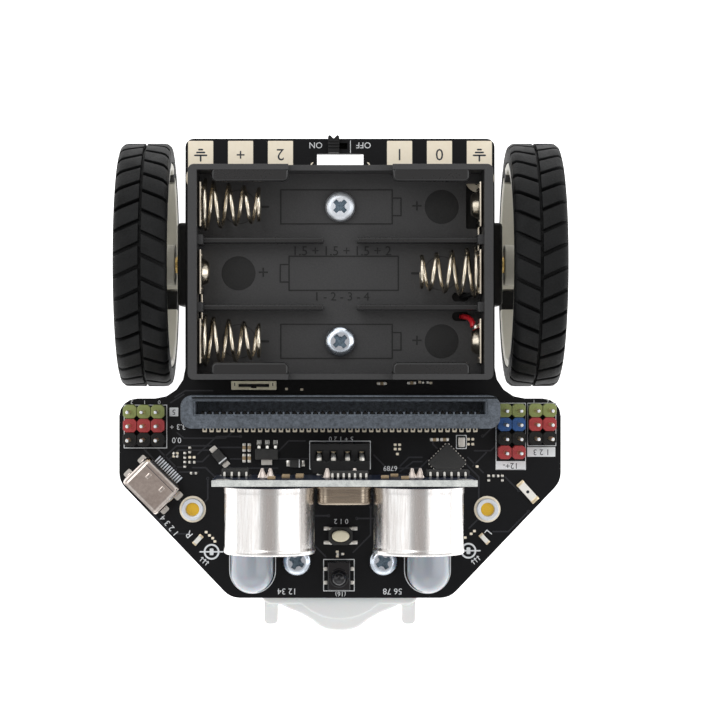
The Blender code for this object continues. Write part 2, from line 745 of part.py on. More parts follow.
def radial_boxes(side, count, first, inner, outer, width, near, far):
    """Boxes standing out from the axle at even angles, each turned to its own direction."""
    made = Shape()
    x_low, x_high = sorted((side * near, side * far))
    for i in range(count):
        block = bmesh.ops.create_cube(made.mesh, size=1)["verts"]
        size = ((x_high - x_low) * MM, (outer - inner) * MM, width * MM)
        centre = ((x_low + x_high) / 2 * MM, (inner + outer) / 2 * MM, 0)
        bmesh.ops.scale(made.mesh, vec=size, verts=block)
        bmesh.ops.translate(made.mesh, vec=centre, verts=block)
        angle = math.radians(first + i * 360 / count)
        bmesh.ops.rotate(made.mesh, verts=block, matrix=Matrix.Rotation(angle, 3, "X"))
        bmesh.ops.translate(made.mesh, vec=(0, AXLE_Y * MM, AXLE_Z * MM), verts=block)
    return made


def web_window(angle):
    """The outline of one window between two spokes, as an arc-sided sector."""
    half = math.radians(WEB_WINDOW_ANGLE / 2)
    middle = math.radians(angle)
    arcs = []
    for radius, sign in ((WEB_WINDOW_R[0], 1), (WEB_WINDOW_R[1], -1)):
        for i in range(5):
            a = middle + sign * half * (i / 2 - 1)
            arcs.append((radius * math.cos(a), radius * math.sin(a)))
    return arcs


def make_wheel(name, side):
    """Rim with its hub and web, and the tyre keyed into it."""
    centre = (0, AXLE_Y, AXLE_Z)
    facing = (side, 0, 0)
    bore = RIM_R - RIM_WALL
    web_in = RIM_OUT - WEB_THICK
    profile = [
        (0, RIM_OUT - 0.6),
        (HUB_R, RIM_OUT - 0.6),
        (HUB_R + 0.4, RIM_OUT),
        (RIM_R, RIM_OUT),
        (RIM_R, RIM_IN),
        (bore, RIM_IN),
        (bore, web_in),
        (HUB_R, web_in),
        (HUB_R, HUB_IN),
        (0, HUB_IN),
    ]
    rim = turned(f"{name}_rim", profile, rim_plastic(), centre, facing, WHEEL_STEPS)
    ends = [(side * x, *centre[1:]) for x in (HUB_IN - 2, SHAFT_END + GAP)]
    shaft = Shape().rod(*ends, SHAFT_BORE_R)
    cut(rim, shaft, "shaft_bore")
    windows = [web_window(i * 360 / WEB_WINDOWS) for i in range(WEB_WINDOWS)]
    cutter = flat(f"{name}_rim_windows", windows, 2 * WEB_THICK + 2)
    cutter.location = Vector((side * RIM_OUT - WEB_THICK - 1, *centre[1:])) * MM
    cutter.rotation_euler = (0, math.radians(90), 0)
    boolean(rim, cutter, "DIFFERENCE")
    notches = radial_boxes(side, KEY_COUNT, KEY_FIRST_ANGLE, bore - 1, RIM_R + 1,
                           KEY_WIDTH + 0.5, RIM_IN - 1, RIM_IN + KEY_LENGTH + GAP)
    cut(rim, notches, "key_notches")
    edge = TYRE_R - TYRE_ROUND
    arc = [math.radians(a) for a in (90, 45, 0)]
    low = TYRE_OUT - TYRE_ROUND
    shoulder = [(edge + TYRE_ROUND * math.cos(a), low + TYRE_ROUND * math.sin(a)) for a in arc]
    middle = (TYRE_IN + TYRE_OUT) / 2
    lower = [(radius, 2 * middle - height) for radius, height in reversed(shoulder)]
    profile = [(TYRE_BORE_R, TYRE_OUT)] + shoulder + lower + [(TYRE_BORE_R, TYRE_IN)]
    tyre = turned(f"{name}_tyre", profile, rubber(), centre, facing, WHEEL_STEPS)
    keys = radial_boxes(side, KEY_COUNT, KEY_FIRST_ANGLE, bore + 0.05, TYRE_BORE_R + 1,
                        KEY_WIDTH, RIM_IN + 0.1, RIM_IN + KEY_LENGTH)
    fuse(tyre, keys, "keys")


def nose_outline():
    """The bell-shaped bumper in front of the caster, one arm mirrored from the other."""
    half = [(11.4, -38.5), (11.3, -40.2), (9.0, -41.5), (7.2, -42.3), (5.0, -43.6), (2.6, -45.0)]
    return half + [(0.8, NOSE_TIP)] + [(-x, y) for x, y in [(0.8, NOSE_TIP)] + half[::-1]]


def make_caster():
    low, high = 4.9, UNDER_BOARD
    made = Shape().rod((0, BALL_Y, low), (0, BALL_Y, high), CUP_R, sides=24)
    made = solid("caster_housing", made, white_plastic())
    flange = Shape().box((-14.5, -40.6, 24.8), (14.5, -25.5, high - 0.05))
    fuse(made, flange, "flange")
    nose = flat("caster_housing_nose", [nose_outline()], 9.0)
    nose.location.z = 17.9 * MM
    boolean(made, nose, "UNION")
    for name, side in SIDES:
        near, far = sorted((side * TAB_X[0], side * TAB_X[1]))
        tab = Shape().box((near, TAB_TIP, 17.9), (far, -36.0, 26.0))
        fuse(made, tab, f"{name}_tab")
    cut(made, Shape().ball((0, BALL_Y, BALL_R), BALL_R + 0.35, 20), "ball_seat")
    for name, side in SIDES:
        x, y = side * CASTER_SCREW[0], CASTER_SCREW[1]
        cut(made, Shape().rod((x, y, 18.4), (x, y, 30), 1.4, sides=16), f"{name}_screw_hole")
    ball = Shape().ball((0, BALL_Y, BALL_R), BALL_R, 20)
    solid("caster_ball", ball, steel(), (0, BALL_Y, BALL_R))


def make_distance_sensor():
    left, right = SENSOR_X - SENSOR_HALF, SENSOR_X + SENSOR_HALF
    board = Shape().box((left, SENSOR_Y[0], SENSOR_Z[0]), (right, SENSOR_Y[1], SENSOR_Z[1]))
    board = solid("sensor_board", board, finish("sensor_board_mask", (0.05, 0.10, 0.25), 0.4))
    holes = Shape()
    for x in (left + 2, right - 2):
        for z in (SENSOR_Z[0] + 2, SENSOR_Z[1] - 2):
            holes.rod((x, -19, z), (x, -14, z), 0.85, sides=12)
    cut(board, holes, "corner_holes")
    back = SENSOR_Y[0] - GAP
    length = back - EYE_FRONT
    profile = [
        (0, length - 1.3),
        (EYE_R - 1.1, length - 1.3),
        (EYE_R - 1.1, length - 0.35),
        (EYE_R - 0.75, length),
        (EYE_R - 0.3, length),
        (EYE_R, length - 0.35),
        (EYE_R, 0),
        (0, 0),
    ]
    for name, side in SIDES:
        centre = (SENSOR_X + side * EYE_X, back, EYE_Z)
        turned(f"{name}_sensor_eye", profile, aluminium(), centre, (0, -1, 0), 28)
    crystal = Shape().box((SENSOR_X - 5, -20.8, 48.3), (SENSOR_X + 5, back, 53.0))
    crystal = solid("sensor_crystal", crystal, finish("crystal_can", (0.62, 0.52, 0.40), 0.3, 1.0))
    bevel(crystal, 1.2, 2)
    block = Shape().box((-5.05, -15.8, 41.0), (5.05, -13.5, 43.4))
    header = solid("sensor_pin_header", block, black_plastic())
    pins = Shape()
    for i in range(4):
        x = (i - 1.5) * PITCH
        face = SOCKET_PIN_Y + PIN / 2
        pins.box((x - PIN / 2, -14.5, 41.9), (x + PIN / 2, face, 42.54))
    fuse(header, pins, "pins")
    legs = Shape()
    for i in range(4):
        x = (i - 1.5) * PITCH
        low = (x - PIN / 2 + 0.001, SOCKET_PIN_Y - PIN / 2, 32.0)
        legs.box(low, (x + PIN / 2 - 0.001, SOCKET_PIN_Y + PIN / 2 - 0.001, 42.4))
    fuse(header, legs, "legs")


def main():
    global PARTS, CUTTERS
    for old in list(bpy.data.objects):
        bpy.data.objects.remove(old, do_unlink=True)
    PARTS = new_collection("line_follower_robot")
    CUTTERS = new_collection("cutters")
    make_board()
    make_battery_box()
    make_contacts()
    make_fasteners()
    make_edge_connector()
    make_connectors()
    make_board_pieces()
    make_power_switch()
    for name, side in SIDES:
        make_drive(name, side)
        make_wheel(name, side)
    make_caster()
    make_distance_sensor()


main()
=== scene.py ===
"""Looks of a two-wheeled line follower robot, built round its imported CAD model."""

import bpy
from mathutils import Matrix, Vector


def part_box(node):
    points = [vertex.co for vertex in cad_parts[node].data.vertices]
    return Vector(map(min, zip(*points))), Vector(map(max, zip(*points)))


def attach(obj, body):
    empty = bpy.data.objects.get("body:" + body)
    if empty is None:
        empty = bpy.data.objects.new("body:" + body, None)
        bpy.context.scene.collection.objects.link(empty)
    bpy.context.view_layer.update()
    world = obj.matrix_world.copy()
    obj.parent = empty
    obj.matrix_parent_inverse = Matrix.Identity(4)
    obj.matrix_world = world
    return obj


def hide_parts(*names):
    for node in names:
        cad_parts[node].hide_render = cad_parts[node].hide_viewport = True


bl_info = {
    "name": "Line Follower Robot",
    "version": (1, 0, 0),
    "blender": (4, 5, 0),
    "location": "View3D > Sidebar > Robot",
    "description": "Builds the detailed pieces and finishes of a two-wheeled line follower robot",
    "category": "Add Mesh",
}

import math

import bmesh
import bpy
from mathutils import Matrix, Vector

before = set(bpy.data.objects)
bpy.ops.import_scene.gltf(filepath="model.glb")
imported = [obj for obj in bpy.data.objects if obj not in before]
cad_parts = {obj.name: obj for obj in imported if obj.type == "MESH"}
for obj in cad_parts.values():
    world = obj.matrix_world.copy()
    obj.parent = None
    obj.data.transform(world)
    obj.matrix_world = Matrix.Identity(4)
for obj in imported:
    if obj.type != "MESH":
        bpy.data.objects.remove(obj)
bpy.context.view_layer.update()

MM = 0.001
SIDES = (("left", 1), ("right", -1))
PITCH = 2.54
PIN = 0.64
SIGNS = (-1, 1)


def corners(node):
    """A CAD node's lowest and highest corners, in millimetres."""
    low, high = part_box(node)
    return Vector(low) / MM, Vector(high) / MM


BOARD_TOP = corners("main_board")[1].z
BOARD_LOW = corners("main_board")[0].z
AXLE = sum(corners("left_tyre"), Vector()) / 2
TYRE_R = (corners("left_tyre")[1] - corners("left_tyre")[0]).z / 2


# Settings -----------------------------------------------------------------------------------------


def colour_property(label, text, value):
    return bpy.props.FloatVectorProperty(
        name=label, description=text, subtype="COLOR", size=3, min=0.0, max=1.0, default=value
    )


class RobotColours(bpy.types.PropertyGroup):
    """Colours of the main finishes."""

    board: colour_property("Board", "Solder mask of the main board", (0.0026, 0.0030, 0.0042))
    box: colour_property("Battery box", "Moulded battery box", (0.034, 0.034, 0.0352))
    rubber: colour_property("Tyres", "Tyre rubber", (0.0032, 0.0034, 0.0036))
    rim: colour_property("Rims", "Moulded wheel rims", (0.70, 0.68, 0.60))
    slate: colour_property("Edge connector", "Filled plastic of the edge connector", (0.082, 0.097, 0.118))
    signal: colour_property("Signal row", "Header strips that carry signals", (0.22, 0.26, 0.085))
    power: colour_property("Power row", "Header strips that carry power", (0.36, 0.035, 0.04))
    data: colour_property("Data row", "Header strips that carry data", (0.016, 0.085, 0.29))
    caster: colour_property("Caster", "Caster housing", (0.86, 0.865, 0.86))
    lens: colour_property("Lamp lens", "Milky lamp lenses", (0.39, 0.43, 0.485))


class RobotSizes(bpy.types.PropertyGroup):
    """Sizes that a user may change without moving anything off its CAD place."""

    tread_blocks: bpy.props.IntProperty(
        name="Tread blocks", description="Blocks round each tread column", default=34, min=20, max=50
    )
    tread_depth: bpy.props.FloatProperty(
        name="Tread depth", description="Depth of the grooves", default=0.0011, unit="LENGTH"
    )
    tread_groove: bpy.props.FloatProperty(
        name="Groove width", description="Width of a chevron groove", default=0.0008, unit="LENGTH"
    )
    tread_angle: bpy.props.FloatProperty(
        name="Chevron angle", description="Slant of the grooves", default=0.44, subtype="ANGLE"
    )
    spring_wire: bpy.props.FloatProperty(
        name="Spring wire", description="Diameter of the cell springs' wire", default=0.0007, unit="LENGTH"
    )
    contacts: bpy.props.IntProperty(
        name="Edge contacts", description="Contacts in the edge connector", default=40, min=10, max=40
    )
    contact_pitch: bpy.props.FloatProperty(
        name="Contact pitch", description="Distance between edge contacts", default=0.00127, unit="LENGTH"
    )


# Places, in millimetres ---------------------------------------------------------------------------

HUB = (0, AXLE.y, AXLE.z)
ON_TOP = corners("edge_connector")[0].z
INK = 0.02
CELL_ROWS = (32.3, 20.2, 7.8)
CELL_Z = 36.2
BOX_FLOOR = ON_TOP + 1.6
DIVIDERS_Y = (26.0, 13.9)
LAMP_X = 16
LINE_SENSOR_X = 23.5
NUT_X, NUT_Y = 26.95, -22.9
SCREW_X, SCREW_Y = 7.9, -32.4
SOCKET_PINS_Y = -12.65
CONTROLLER = (19.6, -14.3, 0)
WINDOW_LAMP = (-48, 34.3, -19.7)
SMALL_LAMPS = ((48, -26.0, -28.5), (-48, 26.4, -28.3))
CASTER_MIDDLE = (0, -33)
BALL_CENTRE = (*CASTER_MIDDLE, 7.5)
SHOULDER = 1.4
LIT_POINT = Vector((0, 0, 0.03))


# Shapes -------------------------------------------------------------------------------------------
# Each of these makes a bmesh from lengths in millimetres; piece() joins a list of them into an object.


def block(low, high, rounding=0.0, segments=2):
    low, high = Vector(low), Vector(high)
    place = Matrix.Translation((low + high) / 2 * MM) @ Matrix.Diagonal((*((high - low) * MM), 1))
    shape = bmesh.new()
    bmesh.ops.create_cube(shape, size=1, matrix=place)
    return rounded(shape, rounding, segments)


def rod(start, end, radius, end_radius=None, sides=24, rounding=0.0):
    start, end = Vector(start) * MM, Vector(end) * MM
    turned = (end - start).to_track_quat("Z", "Y").to_matrix().to_4x4()
    shape = bmesh.new()
    bmesh.ops.create_cone(
        shape, cap_ends=True, segments=sides, radius1=radius * MM,
        radius2=(radius if end_radius is None else end_radius) * MM, depth=(end - start).length,
        matrix=Matrix.Translation((start + end) / 2) @ turned,
    )
    return rounded(shape, rounding, 2, 50)


def post(x, y, half_x, half_y, low, high, rounding=0.0, segments=2):
    """A block about an upright line, by its half widths and its two heights."""
    return block((x - half_x, y - half_y, low), (x + half_x, y + half_y, high), rounding, segments)


def verts_in(geometry):
    return [part for part in geometry if isinstance(part, bmesh.types.BMVert)]


def ball(centre, radius, sides=32):
    shape = bmesh.new()
    place = Matrix.Translation(Vector(centre) * MM)
    bmesh.ops.create_uvsphere(shape, u_segments=sides, v_segments=sides // 2, radius=radius * MM,
                              matrix=place)
    return shape


def spun(profile, centre, along, steps=48):
    """(radius, height) points joined in turn and spun about the line through the centre."""
    shape = bmesh.new()
    line = [shape.verts.new((radius * MM, 0, height * MM)) for radius, height in profile]
    edges = [shape.edges.new(pair) for pair in zip(line, line[1:])]
    if profile[0][0] > 0 and profile[0] != profile[-1] and profile[-1][0] > 0:
        edges.append(shape.edges.new((line[-1], line[0])))
    bmesh.ops.spin(
        shape, geom=line + edges, cent=(0, 0, 0), axis=(0, 0, 1), angle=2 * math.pi, steps=steps,
        use_merge=True
    )
    bmesh.ops.remove_doubles(shape, verts=shape.verts, dist=0.000002)
    turned = Vector(along).to_track_quat("Z", "Y").to_matrix().to_4x4()
    bmesh.ops.transform(shape, matrix=Matrix.Translation(Vector(centre) * MM) @ turned, verts=shape.verts)
    bmesh.ops.recalc_face_normals(shape, faces=shape.faces)
    return shape


def prism(outline, low, high, rounding=0.0, segments=2, least=30):
    """A flat outline in X and Y raised from one height to another."""
    shape = bmesh.new()
    base = shape.faces.new([shape.verts.new((x * MM, y * MM, low * MM)) for x, y in outline])
    raised = bmesh.ops.extrude_face_region(shape, geom=[base])["geom"]
    bmesh.ops.translate(shape, verts=verts_in(raised), vec=(0, 0, (high - low) * MM))
    bmesh.ops.recalc_face_normals(shape, faces=shape.faces)
    return rounded(shape, rounding, segments, least)


def ring(centre, inner, outer, low, high, steps=32):
    profile = [(outer, high), (outer, low), (inner, low), (inner, high)]
    return spun(profile, (*centre, 0), (0, 0, 1), steps)


def tube(path, radius, sides=8):
    """A round wire along points, grown by extruding a circle from each point to the next."""
    points = [Vector(p) * MM for p in path]
    shape = bmesh.new()
    radii = radius if isinstance(radius, (list, tuple)) else [radius] * len(points)
    heading = (points[1] - points[0]).normalized()
    turned = heading.to_track_quat("Z", "Y").to_matrix().to_4x4()
    circle = bmesh.ops.create_circle(
        shape, cap_ends=True, segments=sides, radius=radii[0] * MM,
        matrix=Matrix.Translation(points[0]) @ turned
    )["verts"]
    edges = list(dict.fromkeys(e for v in circle for e in v.link_edges))
    for i in range(1, len(points)):
        grown = bmesh.ops.extrude_edge_only(shape, edges=edges)["geom"]
        edges = [e for e in grown if isinstance(e, bmesh.types.BMEdge)]
        came = (points[i] - points[i - 1]).normalized()
        going = (points[i + 1] - points[i]).normalized() if i + 1 < len(points) else came
        facing = (came + going).normalized()
        spin = heading.rotation_difference(facing).to_matrix().to_4x4()
        grow = Matrix.Scale(radii[i] / radii[i - 1], 4)
        shift = Matrix.Translation(points[i]) @ spin @ grow @ Matrix.Translation(-points[i - 1])
        bmesh.ops.transform(shape, matrix=shift, verts=verts_in(grown))
        heading = facing
    bmesh.ops.contextual_create(shape, geom=edges)
    bmesh.ops.recalc_face_normals(shape, faces=shape.faces)
    return shape


def rounded(shape, width, segments=2, least=30):
    """Bevels the edges whose faces meet at more than the least angle, in degrees."""
    if not width:
        return shape
    sharp = [e for e in shape.edges if len(e.link_faces) == 2 and e.calc_face_angle() > math.radians(least)]
    bmesh.ops.bevel(
        shape, geom=sharp, offset=width * MM, segments=segments, profile=0.5, affect="EDGES", material=-1,
        clamp_overlap=True,
    )
    return shape


def turn(shape, angle, axis, about=(0, 0, 0)):
    """Turns a shape by degrees about an axis through a point."""
    spin = Matrix.Rotation(math.radians(angle), 3, axis)
    bmesh.ops.rotate(shape, cent=Vector(about) * MM, matrix=spin, verts=shape.verts)
    return shape


def move(shape, by):
    bmesh.ops.translate(shape, vec=Vector(by) * MM, verts=shape.verts)
    return shape


def set_down(shape, angle, x, y, z=0):
    """Turns a shape about the upright axis, then moves it to its place."""
    return move(turn(shape, angle, "Z"), (x, y, z))


def stretch(shape, factors, about=(0, 0, 0)):
    """Scales a shape along X, Y and Z about a point."""
    centre = Matrix.Translation(-Vector(about) * MM)
    bmesh.ops.scale(shape, vec=factors, verts=shape.verts, space=centre)
    return shape


def joined(shapes):
    """One bmesh of all the shapes, which are used up."""
    whole = bmesh.new()
    scrap = bpy.data.meshes.new("scrap")
    for shape in shapes:
        shape.to_mesh(scrap)
        shape.free()
        whole.from_mesh(scrap)
    bpy.data.meshes.remove(scrap)
    return whole


def repeated(shape, places):
    """A copy of the shape moved by each of the places."""
    copies = [move(shape.copy(), place) for place in places]
    shape.free()
    return joined(copies)


def side_of(shape, side):
    """The shape as made for +X, or flipped to -X."""
    if side < 0:
        bmesh.ops.scale(shape, vec=(-1, 1, 1), verts=shape.verts)
        bmesh.ops.recalc_face_normals(shape, faces=shape.faces)
    return shape


def loose_object(shape, name="scrap"):
    """An object of the shape for a moment's use, or for the floor."""
    data = bpy.data.meshes.new(name)
    shape.to_mesh(data)
    shape.free()
    made = bpy.data.objects.new(name, data)
    bpy.context.scene.collection.objects.link(made)
    return made


def combined(base, tools, operation="DIFFERENCE"):
    """The base with each tool cut from it, or joined to it, as a new bmesh."""
    body = loose_object(base)
    others = [loose_object(tool) for tool in tools]
    for other in others:
        modifier = body.modifiers.new("combine", "BOOLEAN")
        modifier.operation = operation
        modifier.object = other
        modifier.solver = "EXACT"
    graph = bpy.context.evaluated_depsgraph_get()
    data = bpy.data.meshes.new_from_object(body.evaluated_get(graph))
    result = bmesh.new()
    result.from_mesh(data)
    for scrap in [body, *others]:
        mesh = scrap.data
        bpy.data.objects.remove(scrap, do_unlink=True)
        bpy.data.meshes.remove(mesh)
    bpy.data.meshes.remove(data)
    bmesh.ops.remove_doubles(result, verts=result.verts, dist=0.000001)
    bmesh.ops.dissolve_limit(result, angle_limit=0.01, verts=result.verts, edges=result.edges)
    return result


def piece(name, shapes, material, body="chassis", replaces=(), sharp=38, even=True):
    """An object of the shapes, at the origin, riding on a body."""
    whole = joined(shapes)
    data = bpy.data.meshes.new(name)
    whole.to_mesh(data)
    whole.free()
    data.shade_smooth()
    data.set_sharp_from_angle(angle=math.radians(sharp))
    data.materials.append(material)
    made = bpy.data.objects.new(name, data)
    bpy.context.scene.collection.objects.link(made)
    if even:
        normals = made.modifiers.new("even_shading", "WEIGHTED_NORMAL")
        normals.keep_sharp = True
    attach(made, body)
    if replaces:
        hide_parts(*replaces)
    return made


def arc(centre, radius, first, last, steps):
    """Points of an arc, in degrees from +X."""
    angles = [math.radians(first + (last - first) * i / steps) for i in range(steps + 1)]
    return [(centre[0] + radius * math.cos(a), centre[1] + radius * math.sin(a)) for a in angles]


def pill(low, high, radius, steps=6):
    """A rectangle's outline with round corners."""
    (x0, y0), (x1, y1) = low, high
    return (
        arc((x1 - radius, y1 - radius), radius, 0, 90, steps)
        + arc((x0 + radius, y1 - radius), radius, 90, 180, steps)
        + arc((x0 + radius, y0 + radius), radius, 180, 270, steps)
        + arc((x1 - radius, y0 + radius), radius, 270, 360, steps)
    )


# Finishes -----------------------------------------------------------------------------------------


def new_group(name, numbers, outputs):
    """An empty shader group with float inputs and the outputs given, and its two end nodes."""
    group = bpy.data.node_groups.new(name, "ShaderNodeTree")
    for label, value in numbers:
        group.interface.new_socket(label, in_out="INPUT",
                                   socket_type="NodeSocketFloat").default_value = value
    for label in outputs:
        group.interface.new_socket(label, in_out="OUTPUT", socket_type="NodeSocketFloat")
    return group, group.nodes.new("NodeGroupInput"), group.nodes.new("NodeGroupOutput")


def grain_group():
    """Moulded or cast surface: cloudy tone over centimetres, and a fine grain that stands up."""
    name = "Fine Grain"
    if name in bpy.data.node_groups:
        return bpy.data.node_groups[name]
    numbers = [("Cloud Scale", 120.0), ("Grain Scale", 4000.0), ("Contrast", 1.0)]
    group, given, result = new_group(name, numbers, ["Tone", "Height"])
    place = group.nodes.new("ShaderNodeTexCoord")
    clouds = group.nodes.new("ShaderNodeTexNoise")
    clouds.inputs["Detail"].default_value = 3.0
    grain = group.nodes.new("ShaderNodeTexNoise")
    grain.inputs["Detail"].default_value = 2.0
    blend = group.nodes.new("ShaderNodeMix")
    blend.inputs["Factor"].default_value = 0.45
    spread = group.nodes.new("ShaderNodeMapRange")
    spread.inputs["From Min"].default_value = 0.35
    spread.inputs["From Max"].default_value = 0.65
    power = group.nodes.new("ShaderNodeMath")
    power.operation = "POWER"
    link = group.links.new
    link(place.outputs["Object"], clouds.inputs["Vector"])
    link(place.outputs["Object"], grain.inputs["Vector"])
    link(given.outputs["Cloud Scale"], clouds.inputs["Scale"])
    link(given.outputs["Grain Scale"], grain.inputs["Scale"])
    link(clouds.outputs["Fac"], blend.inputs["A"])
    link(grain.outputs["Fac"], blend.inputs["B"])
    link(blend.outputs["Result"], spread.inputs["Value"])
    link(spread.outputs["Result"], power.inputs[0])
    link(given.outputs["Contrast"], power.inputs[1])
    link(power.outputs["Value"], result.inputs["Tone"])
    link(grain.outputs["Fac"], result.inputs["Height"])
    return group


def brushed_group():
    """Drawn or brushed metal: fine streaks along one axis of the object."""
    name = "Drawn Streaks"
    if name in bpy.data.node_groups:
        return bpy.data.node_groups[name]
    numbers = [("Across X", 2500.0), ("Across Y", 150.0), ("Across Z", 2500.0)]
    group, given, result = new_group(name, numbers, ["Tone", "Height"])
    place = group.nodes.new("ShaderNodeTexCoord")
    scale = group.nodes.new("ShaderNodeCombineXYZ")
    multiply = group.nodes.new("ShaderNodeVectorMath")
    multiply.operation = "MULTIPLY"
    streaks = group.nodes.new("ShaderNodeTexNoise")
    streaks.inputs["Scale"].default_value = 1.0
    streaks.inputs["Detail"].default_value = 3.0
    spread = group.nodes.new("ShaderNodeMapRange")
    spread.inputs["From Min"].default_value = 0.3
    spread.inputs["From Max"].default_value = 0.7
    link = group.links.new
    for label, axis in (("Across X", "X"), ("Across Y", "Y"), ("Across Z", "Z")):
        link(given.outputs[label], scale.inputs[axis])
    link(place.outputs["Object"], multiply.inputs[0])
    link(scale.outputs["Vector"], multiply.inputs[1])
    link(multiply.outputs["Vector"], streaks.inputs["Vector"])
    link(streaks.outputs["Fac"], spread.inputs["Value"])
    link(spread.outputs["Result"], result.inputs["Tone"])
    link(streaks.outputs["Fac"], result.inputs["Height"])
    return group


SOCKETS = {
    "cloud": "Cloud Scale", "grain": "Grain Scale", "contrast": "Contrast",
    "specular": "Specular IOR Level",
    "subsurface": "Subsurface Weight", "scatter": "Subsurface Scale", "coat": "Coat Weight",
    "coat_roughness": "Coat Roughness",
}


def surface(name, bright, dull, roughness, bump, metallic=0.0, streaks=None, **values):
    """A material whose colour and roughness run between two values with its pattern's tone."""
    if name in bpy.data.materials:
        return bpy.data.materials[name]
    material = bpy.data.materials.new(name)
    material.use_nodes = True
    nodes = material.node_tree.nodes
    link = material.node_tree.links.new
    shader = nodes["Principled BSDF"]
    shader.inputs["Metallic"].default_value = metallic
    pattern = nodes.new("ShaderNodeGroup")
    pattern.node_tree = brushed_group() if streaks else grain_group()
    for axis, value in zip("XYZ", streaks or ()):
        pattern.inputs[f"Across {axis}"].default_value = value
    for label, value in values.items():
        holder = pattern if label in ("cloud", "grain", "contrast") else shader
        holder.inputs[SOCKETS[label]].default_value = value
    colour = nodes.new("ShaderNodeMix")
    colour.data_type = "RGBA"
    colour.inputs["A"].default_value = (*dull, 1.0)
    colour.inputs["B"].default_value = (*bright, 1.0)
    rough = nodes.new("ShaderNodeMapRange")
    rough.inputs["To Min"].default_value = roughness[1]
    rough.inputs["To Max"].default_value = roughness[0]
    relief = nodes.new("ShaderNodeBump")
    relief.inputs["Strength"].default_value = bump
    relief.inputs["Distance"].default_value = 0.0001
    link(pattern.outputs["Tone"], colour.inputs["Factor"])
    link(colour.outputs["Result"], shader.inputs["Base Color"])
    link(pattern.outputs["Tone"], rough.inputs["Value"])
    link(rough.outputs["Result"], shader.inputs["Roughness"])
    link(pattern.outputs["Height"], relief.inputs["Height"])
    link(relief.outputs["Normal"], shader.inputs["Normal"])
    return material


